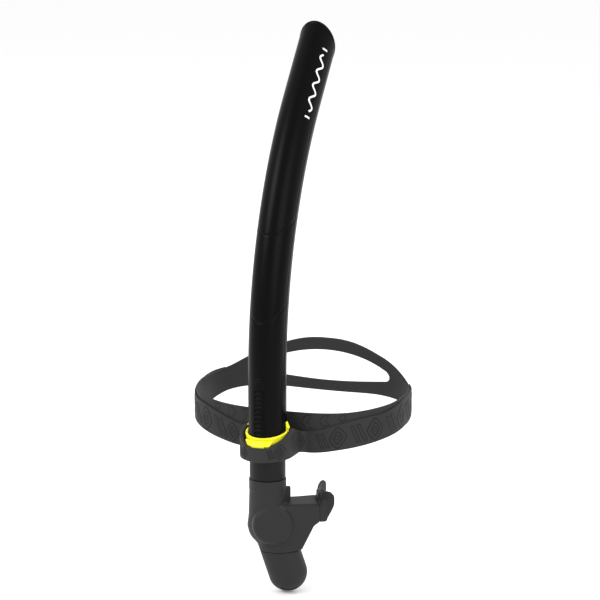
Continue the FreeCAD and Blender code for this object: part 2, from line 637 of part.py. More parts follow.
def make_purge_valve():
    skin, level, thick = dim("skin"), dim("split_level"), dim("seat_thick")
    centre = sump_centre(level + thick / 2)
    _, _, sump, _ = mouthpiece_outline(skin + 0.02)
    disc = slab((-30, -30, level), (30, 60, level + thick)).common(sump)
    opening = Part.makeCylinder(dim("seat_hole"), 10, Vector(0, centre, level - 5))
    spokes = [slab((-20, centre - dim("spoke_width") / 2, level),
                   (20, centre + dim("spoke_width") / 2, level + thick)),
              slab((-dim("spoke_width") / 2, centre - 20, level),
                   (dim("spoke_width") / 2, centre + 20, level + thick)),
              Part.makeCylinder(dim("hub_outer"), thick, Vector(0, centre, level))]
    cross = spokes[0].fuse(spokes[1:]).common(opening)
    bore = Part.makeCylinder(dim("stem_radius") + dim("stem_gap"), 20,
                             Vector(0, centre, level - 10))
    seat = disc.cut(opening).fuse(cross).cut(bore)
    feature("purge_seat", seat.removeSplitter(), MOUTH_PLACE)

    low = level - dim("membrane_gap") - dim("membrane_thick")
    disc = Part.makeCylinder(dim("membrane_radius"), dim("membrane_thick"),
                             Vector(0, centre, low))
    stem = Part.makeCylinder(dim("stem_radius"), dim("stem_length"), Vector(0, centre, low))
    head = Part.makeCylinder(dim("stem_head"), 0.8, Vector(0, centre,
                                                           low + dim("stem_length")))
    feature("purge_membrane", disc.fuse([stem, head]).removeSplitter(), MOUTH_PLACE)


FLANGE_EDGE = [(0.0, -50.0), (5.0, -49.8), (11.0, -48.2), (16.6, -47.0), (19.5, -49.0),
               (20.0, -53.0), (18.6, -58.5), (15.0, -64.5), (10.0, -70.0), (5.0, -73.6),
               (0.0, -74.8)]


def flange_outline():
    """Heart-shaped outline of the lip flange in X and Z: two raised lobes and a narrow foot."""
    left = [(-x, z) for x, z in reversed(FLANGE_EDGE[1:-1])]
    return closed_curve([Vector(x, 0, z) for x, z in FLANGE_EDGE + left])


def make_lip_flange():
    face, thick = dim("flange_face"), dim("flange_thick")
    radius, level = dim("flange_sweep_radius"), dim("port_level")
    axis_y = face + thick / 2 + radius

    def upright(size):
        return Part.makeCylinder(size, 120, Vector(0, axis_y, -140))

    # the plate wraps round the teeth, so it is bent about an upright axis behind it
    blank = Part.Face(Part.Wire([flange_outline()])).extrude(Vector(0, 80, 0))
    plate = blank.common(upright(radius + thick / 2).cut(upright(radius - thick / 2)))
    plate = plate.common(slab((-60, 0, -120), (60, axis_y, 0)))

    # a collar fills the room between the neck's end and the bent plate
    neck_end = rounded_frame(dim("neck_end"), dim("neck_end_half"), dim("neck_end_floor"),
                             dim("neck_roof"), dim("neck_round"))
    collar = Part.Face(neck_end).extrude(Vector(0, 12, 0)).cut(upright(radius))

    # bite tabs behind the flange, each with a ridge for the teeth
    offset, width, ridge = dim("bite_offset"), dim("bite_width"), dim("bite_ridge")
    middle, high, end = dim("bite_level"), dim("bite_half_height"), dim("bite_end")
    pieces = [collar]
    for side in (1, -1):
        x = side * offset
        root = axis_y - math.sqrt(radius ** 2 - offset ** 2)
        pieces.append(slab((x - width / 2, root, middle - high),
                           (x + width / 2, end, middle + high)))
        pieces.append(slab((x - width / 2 - ridge, end - dim("bite_ridge_length"), middle - high),
                           (x + width / 2 + ridge, end, middle + high)))
    port = rounded_frame(face - 10, dim("port_half_width"), level - dim("port_half_height"),
                         level + dim("port_half_height"), dim("port_round"))
    port = Part.Face(port).extrude(Vector(0, 30, 0))
    flange = plate.fuse(pieces).cut(port)
    feature("lip_flange", flange.removeSplitter(), MOUTH_PLACE)


make_head_strap()
make_front_band()
make_snorkel_tube()
make_tube_clip()
make_latch_lever()
make_latch_pin()
make_latch_spring()
make_tube_connector()
make_swivel_parts()
make_mouthpiece()
make_purge_valve()
make_lip_flange()

# ----------------------------------------------------------------------------------------------
# Check and export
# ----------------------------------------------------------------------------------------------
doc.recompute()
for obj in doc.Objects:
    if "Invalid" in obj.State or "Error" in obj.State:
        raise RuntimeError(f"{obj.Label} failed to compute: {obj.State}")
os.makedirs("parts", exist_ok=True)
for label, obj in PARTS.items():
    shape = obj.Shape
    if shape.isNull() or not shape.isValid():
        raise RuntimeError(f"{label} has no valid shape")
    shape.exportStep(f"parts/{label}.step")
    box = shape.BoundBox
    print(f"{label:16s} solids {len(shape.Solids)} volume {shape.Volume:9.1f}"
          f"  x {box.XMin:7.1f} {box.XMax:7.1f}  y {box.YMin:7.1f} {box.YMax:7.1f}"
          f"  z {box.ZMin:7.1f} {box.ZMax:7.1f}")
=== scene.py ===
"""Looks of a centre swim snorkel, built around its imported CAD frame.

Shapes are worked out in millimetres in the row frame (+Z up, -Y forward) and scaled to metres
when a mesh is made.  The long pieces are swept grids; the moulded ones are distance fields.
"""
import json
import math

import bmesh
import bpy
import numpy as np
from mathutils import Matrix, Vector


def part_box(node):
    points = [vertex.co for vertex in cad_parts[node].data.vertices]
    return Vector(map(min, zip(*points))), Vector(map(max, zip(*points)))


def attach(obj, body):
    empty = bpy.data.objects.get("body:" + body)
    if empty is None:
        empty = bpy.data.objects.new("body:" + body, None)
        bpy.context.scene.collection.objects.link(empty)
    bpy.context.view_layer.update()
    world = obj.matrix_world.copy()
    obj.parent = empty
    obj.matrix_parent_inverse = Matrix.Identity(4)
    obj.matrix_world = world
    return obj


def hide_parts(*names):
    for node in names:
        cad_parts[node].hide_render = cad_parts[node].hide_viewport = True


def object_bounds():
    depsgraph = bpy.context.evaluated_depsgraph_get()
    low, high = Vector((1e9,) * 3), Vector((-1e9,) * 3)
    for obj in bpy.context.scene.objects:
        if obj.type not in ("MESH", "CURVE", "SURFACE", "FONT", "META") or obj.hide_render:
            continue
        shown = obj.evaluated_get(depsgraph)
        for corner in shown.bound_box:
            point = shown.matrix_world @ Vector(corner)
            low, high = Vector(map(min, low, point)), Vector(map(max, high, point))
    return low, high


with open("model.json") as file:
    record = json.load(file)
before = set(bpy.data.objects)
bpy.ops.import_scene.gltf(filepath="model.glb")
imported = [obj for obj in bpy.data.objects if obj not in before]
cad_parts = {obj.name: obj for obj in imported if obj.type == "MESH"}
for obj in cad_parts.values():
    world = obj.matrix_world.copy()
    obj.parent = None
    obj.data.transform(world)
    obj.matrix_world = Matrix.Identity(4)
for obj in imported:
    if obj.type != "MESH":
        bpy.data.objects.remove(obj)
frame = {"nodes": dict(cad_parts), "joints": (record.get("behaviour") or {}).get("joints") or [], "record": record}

import openvdb
from mathutils import Matrix, Vector

CAD_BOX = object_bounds()
MM = 0.001
JOINTS = {joint["name"]: joint for joint in frame["joints"]}
AXIS = np.array(JOINTS["mouthpiece_swivel"]["pos_m"]) / MM          # on the tube's straight axis
AXIS_Y = AXIS[1]


# ----------------------------------------------------------------------------------------------
# Mesh helpers
# ----------------------------------------------------------------------------------------------
def smoothstep(low, high, value):
    t = np.clip((value - low) / (high - low), 0.0, 1.0)
    return t * t * (3.0 - 2.0 * t)


def band_pass(low, high, soft, value):
    """1 between low and high, 0 outside, with soft edges."""
    return smoothstep(low - soft, low + soft, value) * (1 - smoothstep(high - soft, high + soft,
                                                                       value))


def add_mesh(name, points, faces, body, material, nodes=(), lines=None):
    """A smooth-shaded piece from points in millimetres; lines marks painted shade and dust in its sunk outlines.
    """
    mesh = bpy.data.meshes.new(name)
    points = np.asarray(points, dtype=np.float32) * MM
    mesh.vertices.add(len(points))
    mesh.vertices.foreach_set("co", points.ravel())
    starts, loops, start = [], [], 0
    for group in faces:
        group = np.asarray(group, dtype=np.int32)
        if len(group) == 0:
            continue
        corners = group.shape[1]
        starts.append(start + corners * np.arange(len(group), dtype=np.int32))
        loops.append(group.ravel())
        start += group.size
    loops = np.concatenate(loops)
    starts = np.concatenate(starts)
    mesh.loops.add(len(loops))
    mesh.loops.foreach_set("vertex_index", loops)
    mesh.polygons.add(len(starts))
    mesh.polygons.foreach_set("loop_start", starts)
    mesh.update(calc_edges=True)
    mesh.validate()
    # the line attribute carries painted shade and dust in the sunk outlines
    if lines is not None:
        tone = mesh.attributes.new("line", "FLOAT", "POINT")
        tone.data.foreach_set("value", np.asarray(lines, dtype=np.float32).ravel())
    weld_mesh(mesh)
    mesh.polygons.foreach_set("use_smooth", np.ones(len(mesh.polygons), dtype=bool))
    mesh.materials.append(material)
    piece = bpy.data.objects.new(name, mesh)
    bpy.context.scene.collection.objects.link(piece)
    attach(piece, body)
    if nodes:
        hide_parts(*nodes)
    return piece


def weld_mesh(mesh):
    """Join points that coincide, drop faces without area and turn all faces outwards."""
    work = bmesh.new()
    work.from_mesh(mesh)
    bmesh.ops.remove_doubles(work, verts=work.verts, dist=2e-6)
    bmesh.ops.dissolve_degenerate(work, edges=work.edges, dist=1e-7)
    bmesh.ops.recalc_face_normals(work, faces=work.faces)
    work.to_mesh(mesh)
    work.free()


def grid_quads(rows, columns, closed_rows=False, closed_columns=True, first=0):
    """Quads of a grid of points stored row by row."""
    row = np.arange(rows if closed_rows else rows - 1)
    column = np.arange(columns if closed_columns else columns - 1)
    r, c = np.meshgrid(row, column, indexing="ij")
    r2, c2 = (r + 1) % rows, (c + 1) % columns
    quads = np.stack([r * columns + c, r * columns + c2, r2 * columns + c2, r2 * columns + c],
                     axis=-1)
    return quads.reshape(-1, 4) + first


# ----------------------------------------------------------------------------------------------
# Materials
# ----------------------------------------------------------------------------------------------
GROOVE_SHADE_TONE = 0.22                         # painted shade, with some dust, in sunk outlines: tone against the face around them


def make_material(name, color, roughness, grain_mm, bump, specular=0.5, coat=0.0,
                  coat_roughness=0.2, tint=0.12, sheen=0.0, metallic=0.0, edge_lightening=0.0):
    """Moulded material: fine grain in the bump, soft cloudy changes of colour and gloss."""
    material = bpy.data.materials.new(name)
    material.use_nodes = True
    nodes, links = material.node_tree.nodes, material.node_tree.links
    shader = nodes["Principled BSDF"]
    shader.inputs["Metallic"].default_value = metallic
    shader.inputs["Specular IOR Level"].default_value = specular
    shader.inputs["Coat Weight"].default_value = coat
    shader.inputs["Coat Roughness"].default_value = coat_roughness
    shader.inputs["Sheen Weight"].default_value = sheen
    shader.inputs["Sheen Roughness"].default_value = 0.6
    place = nodes.new("ShaderNodeTexCoord")

    cloud = nodes.new("ShaderNodeTexNoise")
    cloud.inputs["Scale"].default_value = 38.0
    cloud.inputs["Detail"].default_value = 5.0
    links.new(place.outputs["Object"], cloud.inputs["Vector"])
    ramp = nodes.new("ShaderNodeValToRGB")
    ramp.color_ramp.elements[0].position = 0.3
    ramp.color_ramp.elements[1].position = 0.72
    ramp.color_ramp.elements[0].color = [c * (1 - tint) for c in color] + [1.0]
    ramp.color_ramp.elements[1].color = [min(1.0, c * (1 + tint)) for c in color] + [1.0]
    links.new(cloud.outputs["Fac"], ramp.inputs["Fac"])

    # Convex edges, where pointiness is high, are mixed towards a lighter copy of the colour.
    edge = nodes.new("ShaderNodeNewGeometry")
    sharp = nodes.new("ShaderNodeMapRange")
    sharp.inputs["From Min"].default_value = 0.53
    sharp.inputs["From Max"].default_value = 0.62
    sharp.inputs["To Max"].default_value = edge_lightening
    links.new(edge.outputs["Pointiness"], sharp.inputs["Value"])
    lightened_edges = nodes.new("ShaderNodeMix")
    lightened_edges.data_type = "RGBA"
    lightened_edges.inputs["B"].default_value = [min(1.0, c * 1.9 + 0.02) for c in color] + [1.0]
    links.new(sharp.outputs["Result"], lightened_edges.inputs["Factor"])
    links.new(ramp.outputs["Color"], lightened_edges.inputs["A"])
    # Painted shade and dust: the line attribute darkens the colour in sunk outlines, where shade falls.
    line = nodes.new("ShaderNodeAttribute")
    line.attribute_name = "line"
    sunk = nodes.new("ShaderNodeMix")
    sunk.data_type = "RGBA"
    sunk.inputs["B"].default_value = [c * GROOVE_SHADE_TONE for c in color] + [1.0]
    links.new(line.outputs["Fac"], sunk.inputs["Factor"])
    links.new(lightened_edges.outputs["Result"], sunk.inputs["A"])
    links.new(sunk.outputs["Result"], shader.inputs["Base Color"])

    gloss = nodes.new("ShaderNodeMapRange")
    gloss.inputs["To Min"].default_value = roughness * 0.88
    gloss.inputs["To Max"].default_value = min(1.0, roughness * 1.12)
    links.new(cloud.outputs["Fac"], gloss.inputs["Value"])
    links.new(gloss.outputs["Result"], shader.inputs["Roughness"])

    grain = nodes.new("ShaderNodeTexNoise")
    grain.inputs["Scale"].default_value = 1.0 / (grain_mm * MM)
    grain.inputs["Detail"].default_value = 3.0
    links.new(place.outputs["Object"], grain.inputs["Vector"])
    relief = nodes.new("ShaderNodeBump")
    relief.inputs["Strength"].default_value = bump
    relief.inputs["Distance"].default_value = grain_mm * MM * 0.25
    links.new(grain.outputs["Fac"], relief.inputs["Height"])
    links.new(relief.outputs["Normal"], shader.inputs["Normal"])
    return material


TUBE_BLACK = make_material("tube_black_satin", (0.0008, 0.0008, 0.0009), 0.34, 0.5, 0.16,
                           specular=0.07, tint=0.1, edge_lightening=0.2)
CONNECTOR_BLACK = make_material("connector_black_matt", (0.0022, 0.0022, 0.002), 0.5, 0.35, 0.25,
                                specular=0.2, edge_lightening=0.3)
STRAP_SILICONE = make_material("strap_silicone", (0.0185, 0.0185, 0.019), 0.66, 0.4, 0.3,
                               specular=0.22, sheen=0.02, tint=0.1, edge_lightening=0.3)
MOUTH_SILICONE = make_material("mouth_silicone", (0.0125, 0.0125, 0.013), 0.56, 0.45, 0.22,
                               specular=0.24, sheen=0.02, tint=0.1, edge_lightening=0.3)
CLIP_YELLOW = make_material("clip_yellow_gloss", (0.98, 0.92, 0.014), 0.32, 0.6, 0.1,
                            specular=0.4, coat=0.15, coat_roughness=0.15, tint=0.03)
PRINT_WHITE = make_material("print_white", (0.86, 0.86, 0.86), 0.5, 0.25, 0.15, tint=0.03)
PIN_STEEL = make_material("pin_steel", (0.55, 0.56, 0.57), 0.3, 0.2, 0.15, metallic=1.0,
                          tint=0.05)
SEAL_RUBBER = make_material("seal_rubber", (0.02, 0.02, 0.02), 0.6, 0.3, 0.2)
VALVE_PLASTIC = make_material("valve_plastic", (0.05, 0.05, 0.055), 0.48, 0.4, 0.2)

for node, material in (("latch_pin", PIN_STEEL), ("latch_spring", PIN_STEEL),
                       ("swivel_seal", SEAL_RUBBER), ("purge_membrane", SEAL_RUBBER),
                       ("swivel_bush", VALVE_PLASTIC), ("snap_ring", VALVE_PLASTIC),
                       ("purge_seat", VALVE_PLASTIC)):
    frame["nodes"][node].data.materials.clear()
    frame["nodes"][node].data.materials.append(material)


# ----------------------------------------------------------------------------------------------
# Tube
# ----------------------------------------------------------------------------------------------
TUBE_HALF_X, TUBE_HALF_Y, TUBE_WALL = 14.6, 17.0, 2.0
TUBE_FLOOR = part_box("snorkel_tube")[0].z / MM
STRAIGHT_TOP, BEND_RADIUS, BEND_ANGLE = 42.0, 325.0, math.radians(39.7)
TIP_LENGTH, TIP_CUT = 55.5, math.radians(29.0)
LIP_GROW, LIP_HEIGHT = 0.25, 2.4
STRAIGHT_LENGTH = STRAIGHT_TOP - TUBE_FLOOR
BEND_LENGTH = BEND_RADIUS * BEND_ANGLE
TIP_STATION = STRAIGHT_LENGTH + BEND_LENGTH + TIP_LENGTH
NOTCH_FIRST, NOTCH_PITCH, NOTCH_HEIGHT, NOTCH_COUNT = -14.5, 3.65, 1.8, 14
NOTCH_HALF_WIDTH, NOTCH_DEPTH = 4.65, 0.85
STOP_RIB = (42.0, 44.4, 0.85)            # lower edge, upper edge, height above the tube
MOULD_LINES = (104.0, 168.5)             # stations where the slanting mould lines pass in front
SEAM_ANGLE = math.radians(84.0)


def tube_surface(station, angle, grow):
    """Points of the tube's surface; angle 0 is its front, grow is added to both half-axes."""
    bend = np.clip((station - STRAIGHT_LENGTH) / BEND_RADIUS, 0.0, BEND_ANGLE)
    tail = np.maximum(station - STRAIGHT_LENGTH - BEND_LENGTH, 0.0)
    y = BEND_RADIUS * (1 - np.cos(bend)) + tail * math.sin(BEND_ANGLE)
    z = np.where(station < STRAIGHT_LENGTH, TUBE_FLOOR + station,
                 STRAIGHT_TOP + BEND_RADIUS * np.sin(bend) + tail * math.cos(BEND_ANGLE))
    back = -np.cos(angle) * (TUBE_HALF_Y + grow)
    side = np.sin(angle) * (TUBE_HALF_X + grow)
    return np.stack([side, AXIS_Y + y + back * np.cos(bend), z - back * np.sin(bend)], axis=-1)


def tip_station(angle, grow):
    """Station where the slanting cut of the open end meets the surface."""
    return TIP_STATION + (TUBE_HALF_Y + grow) * np.cos(angle) * math.tan(TIP_CUT)


def tube_relief(station, angle):
    """Ladder, stop rib, mould lines and side seams, as height above the plain surface."""
    level = station + TUBE_FLOOR
    ladder = band_pass(-NOTCH_HALF_WIDTH, NOTCH_HALF_WIDTH, 0.22,
                       TUBE_HALF_X * np.sin(angle)) * (np.cos(angle) > 0)
    low = NOTCH_FIRST + NOTCH_PITCH * np.arange(NOTCH_COUNT)
    notches = ladder * sum(band_pass(z, z + NOTCH_HEIGHT, 0.2, level) for z in low)
    height = -NOTCH_DEPTH * notches
    height = height + STOP_RIB[2] * ladder * band_pass(STOP_RIB[0], STOP_RIB[1], 0.3, level)
    for line in MOULD_LINES:
        off = (station - line - TUBE_HALF_Y * (1 - np.cos(angle))) * math.sqrt(0.5)
        height -= 0.3 * np.exp(-(off / 0.42) ** 2)
    for side in (1, -1):
        turn = (angle - side * SEAM_ANGLE + math.pi) % (2 * math.pi) - math.pi
        height -= 0.22 * np.exp(-(turn * TUBE_HALF_X / 0.34) ** 2)
    return height


def tube_angles():
    """Columns round the tube, closer together at the ladder's edges and at the seams."""
    angles = list(np.linspace(-math.pi, math.pi, 132, endpoint=False))
    ladder_edge = math.asin(NOTCH_HALF_WIDTH / TUBE_HALF_X)
    for centre in (SEAM_ANGLE, -SEAM_ANGLE, ladder_edge, -ladder_edge):
        angles += [centre + math.radians(step) for step in (-1.6, -0.8, 0.0, 0.8, 1.6)]
    return np.array(sorted(angles))


def make_tube():
    angle = tube_angles()
    merge_start = TIP_STATION - TUBE_HALF_Y * math.tan(TIP_CUT) - LIP_HEIGHT - 12.0
    span = 2 * TUBE_HALF_Y
    runs = [(0.0, STRAIGHT_LENGTH + 5, 0.3)]
    for line in MOULD_LINES:
        runs += [(runs[-1][1], line - 1.5, 1.2), (line - 1.5, line + span + 1.5, 0.3)]
    runs.append((runs[-1][1], merge_start, 1.2))
    stations = np.concatenate([np.arange(low, high - 0.5 * step, step)
                               for low, high, step in runs])
    s, a = np.meshgrid(stations, angle, indexing="ij")
    rings = [tube_surface(s, a, tube_relief(s, a))]

    # up to the lip, the rings lean over until they follow the slanting cut
    rim = (LIP_GROW + TUBE_WALL) / 2
    middle = LIP_GROW - rim
    cut = tip_station(angle, middle)
    depths = np.concatenate([np.linspace(1.0, 0.12, 24), np.linspace(0.11, 0.0, 14)[:-1]])
    for share in depths:
        station = cut - rim - share * (cut - rim - merge_start)
        below = cut - station
        grow = LIP_GROW * (1 - smoothstep(LIP_HEIGHT - 0.45, LIP_HEIGHT + 0.35, below))
        rings.append(tube_surface(station, angle, tube_relief(station, angle)
                                  * smoothstep(0.0, 3.0, below - LIP_HEIGHT) + grow)[None])
    for turn in np.linspace(0.0, math.pi, 13):
        grow = middle + rim * math.cos(turn)
        rings.append(tube_surface(cut - rim + rim * math.sin(turn), angle, grow)[None])
    for share in np.linspace(0.0, 1.0, 12)[1:]:
        station = cut - rim - share * (cut - rim - merge_start)
        rings.append(tube_surface(station, angle, -TUBE_WALL)[None])
    for station in np.linspace(merge_start, 0.0, 70)[1:]:
        rings.append(tube_surface(np.full_like(angle, station), angle, -TUBE_WALL)[None])
    points = np.concatenate(rings)
    quads = grid_quads(points.shape[0], points.shape[1], closed_rows=True)
    return add_mesh("tube", points.reshape(-1, 3), [quads], "tube", TUBE_BLACK,
                    ["snorkel_tube"])


MARK_START, MARK_LENGTH, MARK_ANGLE = 265.0, 62.0, math.radians(56.0)
MARK_WAVES, MARK_SWING, MARK_STROKE = 4, math.radians(8.5), 1.5


def make_print_mark():
    """Pad-printed wave that runs along the tube, with a short bar at each end."""
    strokes = []
    along = np.linspace(0.0, 1.0, 220)
    wave = MARK_SWING * np.sin(2 * math.pi * MARK_WAVES * along)
    strokes.append((MARK_START + 5 + (MARK_LENGTH - 10) * along, MARK_ANGLE + wave))
    across = np.linspace(-1.0, 1.0, 40)
    for station in (MARK_START, MARK_START + MARK_LENGTH):
        strokes.append((np.full(40, station), MARK_ANGLE + MARK_SWING * across))
    radius = (TUBE_HALF_X + TUBE_HALF_Y) / 2
    points, faces, first = [], [], 0
    for station, angle in strokes:
        run = np.gradient(station)
        swing = np.gradient(angle) * radius
        length = np.hypot(run, swing)
        for lift, side in ((0.09, -0.5), (0.09, 0.5), (-0.05, 0.5), (-0.05, -0.5)):
            width = MARK_STROKE * side
            points.append(tube_surface(station + width * swing / length,
                                       angle - width * run / length / radius,
                                       np.full(len(station), lift)))
        rows, columns = 4, len(station)
        faces.append(grid_quads(rows, columns, closed_rows=True, closed_columns=False,
                                first=first))
        ends = first + np.arange(4) * columns
        faces.append(np.array([ends, ends + columns - 1]))
        first += rows * columns
    return add_mesh("tube_print", np.concatenate(points), faces, "tube", PRINT_WHITE)


# ----------------------------------------------------------------------------------------------
# Connector
# ----------------------------------------------------------------------------------------------
def make_connector():
    """Rings from the plug, over the oval shoulder and the round band, down the spigot and back."""
    low, high = (corner.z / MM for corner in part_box("tube_connector"))
    band, band_floor, taper_floor, spigot, bore = 14.1, -38.0, -24.5, 12.0, 10.0
    plug_x, plug_y = TUBE_HALF_X - TUBE_WALL - 0.1, TUBE_HALF_Y - TUBE_WALL - 0.1
    rings = [(high, bore, bore), (high, plug_x - 0.5, plug_y - 0.5), (high - 0.5, plug_x, plug_y),
             (TUBE_FLOOR, plug_x, plug_y), (TUBE_FLOOR, TUBE_HALF_X - 0.2, TUBE_HALF_Y - 0.2),
             (TUBE_FLOOR - 0.2, TUBE_HALF_X, TUBE_HALF_Y)]
    for share in np.linspace(0.0, 1.0, 12)[1:]:
        ease = share * share * (3 - 2 * share)
        rings.append((TUBE_FLOOR - 0.2 + (taper_floor - TUBE_FLOOR + 0.2) * share,
                      TUBE_HALF_X + (band - TUBE_HALF_X) * ease,
                      TUBE_HALF_Y + (band - TUBE_HALF_Y) * ease))
    for turn in np.linspace(0.0, math.pi / 2, 5):
        rings.append((band_floor + 0.5 - 0.5 * math.sin(turn), band - 0.5 + 0.5 * math.cos(turn),
                      band - 0.5 + 0.5 * math.cos(turn)))
    rings += [(band_floor, spigot, spigot), (low + 0.4, spigot, spigot),
              (low, spigot - 0.4, spigot - 0.4), (low, bore, bore)]
    angle = np.linspace(0, 2 * math.pi, 128, endpoint=False)
    points = np.array([np.stack([half_x * np.sin(angle), AXIS_Y - half_y * np.cos(angle),
                                 np.full_like(angle, level)], axis=-1)
                       for level, half_x, half_y in rings])
    quads = grid_quads(len(rings), len(angle), closed_rows=True)
    piece = add_mesh("connector", points.reshape(-1, 3), [quads], "tube",
                     CONNECTOR_BLACK, ["tube_connector"])
    piece.data.set_sharp_from_angle(angle=math.radians(50))
    return piece


# ----------------------------------------------------------------------------------------------
# Head strap and front band
# ----------------------------------------------------------------------------------------------
LOOP_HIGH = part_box("head_strap")[1]
LOOP_HALF_X = LOOP_HIGH.x / MM
LOOP_HALF_Y = LOOP_HIGH.y / MM
LOOP_POWER = 2.6
STRAP_THICK, BAND_THICK = 2.0, 1.3
WINDOW_HALF = 58.0
WINDOW_LOW, WINDOW_HIGH = (9.5, 5.5), (35.0, 14.0)   # level at the middle, change at the ends
STRAP_TOP = [(0, 11.0), (30, 11.8), (60, 15.0), (90, 17.5), (120, 20.5), (150, 34.3), (180, 45.5)]
STRAP_FLOOR = [(0, -20.6), (15, -20.7), (30, -17.6), (60, -11.3), (90, -6.6), (120, 0.0),
               (150, 1.9), (180, 0.4)]
BAND_TOP = [(0, -3.4), (15, -2.4), (30, 3.6), (45, 8.0), (60, 9.9), (75, 13.0), (90, 16.9),
            (120, 19.9)]
EDGE_STEPS = np.array([0.0, 0.04, 0.14, 0.32, 0.6, 1.0])


def height_at(keys, angle):
    """Height of a strap edge at an angle from the front in degrees, smooth through its keys."""
    angle = np.abs((np.asarray(angle, float) + 180.0) % 360.0 - 180.0)
    at = np.array([k[0] for k in keys], float)
    value = np.array([k[1] for k in keys], float)
    slope = np.gradient(value, at)
    slope[0] = 0.0
    if at[-1] == 180.0:
        slope[-1] = 0.0
    index = np.clip(np.searchsorted(at, angle, side="right") - 1, 0, len(at) - 2)
    gap = at[index + 1] - at[index]
    t = np.clip((angle - at[index]) / gap, 0.0, 1.0)
    return ((2 * t ** 3 - 3 * t ** 2 + 1) * value[index] + (t ** 3 - 2 * t ** 2 + t) * gap
            * slope[index] + (3 * t ** 2 - 2 * t ** 3) * value[index + 1]
            + (t ** 3 - t ** 2) * gap * slope[index + 1])


def loop_plan(angle, outset):
    """Plan point of the head loop at an angle from the front in degrees."""
    turn = np.radians(angle)
    across, ahead = np.sin(turn), np.cos(turn)
    power = 2.0 / LOOP_POWER
    return np.stack([np.sign(across) * np.abs(across) ** power * (LOOP_HALF_X + outset),
                     -np.sign(ahead) * np.abs(ahead) ** power * (LOOP_HALF_Y + outset)], axis=-1)


def loop_angles(step):
    """Angles evenly spaced along the loop's length."""
    fine = np.linspace(-180.0, 180.0, 20001)
    plan = loop_plan(fine, -STRAP_THICK / 2)
    length = np.concatenate([[0.0], np.cumsum(np.hypot(*np.diff(plan, axis=0).T))])
    count = int(length[-1] / step)
    return np.interp(np.linspace(0, length[-1], count, endpoint=False), length, fine)


def path_normals(plan, closed):
    """Unit normals in plan, to the right of the direction of travel."""
    if closed:
        along = np.roll(plan, -1, axis=0) - np.roll(plan, 1, axis=0)
    else:
        along = np.gradient(plan, axis=0)
    along /= np.linalg.norm(along, axis=1)[:, None]
    return np.stack([along[:, 1], -along[:, 0]], axis=-1)


def window_edges(x):
    """Lower and upper edge of the gap between the back bands."""
    share = np.clip(np.abs(x) / WINDOW_HALF, 0.0, 1.0)
    low = WINDOW_LOW[0] + WINDOW_LOW[1] * share ** 2
    high = WINDOW_HIGH[0] - WINDOW_HIGH[1] * share ** 2
    closing = np.clip((np.abs(x) - (WINDOW_HALF - 4.0)) / 4.0, 0.0, 1.0)
    open_share = np.sqrt(np.maximum(1 - closing ** 2.4, 0.0))
    middle = (low + high) / 2
    return middle + (low - middle) * open_share, middle + (high - middle) * open_share


def edge_round(distance, half):
    """Half thickness near a moulded edge: a quarter circle that runs out to nothing."""
    inside = np.clip(1 - distance / half, 0.0, 1.0)
    return half * np.sqrt(1 - inside ** 2)


def band_levels(low, high, interior):
    """Row heights between two edges, crowded at both of them."""
    size = high - low
    lower = low[:, None] + EDGE_STEPS[None, :]
    upper = high[:, None] - EDGE_STEPS[::-1][None, :]
    share = np.linspace(0.0, 1.0, interior + 2)[1:-1]
    start, room = low + EDGE_STEPS[-1], size - 2 * EDGE_STEPS[-1]
    return np.concatenate([lower, start[:, None] + room[:, None] * share, upper], axis=1)


OUTLINE_HALF, PLATEAU, SUNK = 0.42, 0.2, 0.3      # half width, raised height, sunk depth


def outlined(distance):
    """Relief of a raised shape with a sunk outline, and painted shade and dust in that outline; distance is
    negative inside it.
    """
    line = np.exp(-(distance / OUTLINE_HALF) ** 2)
    return PLATEAU * (1 - smoothstep(-0.5, 0.4, distance)) - SUNK * line, line


def chevron_field(along, level, low, high):
    """Slanting bars on the part of the strap that shows above the front band."""
    pitch, half = 15.0, 2.4
    middle = (low + high) / 2
    lean = (along - 0.8 * np.abs(level - middle)) % pitch - pitch / 2
    return np.maximum(np.abs(lean) - half, np.maximum(level - high + 1.8, low + 1.6 - level))


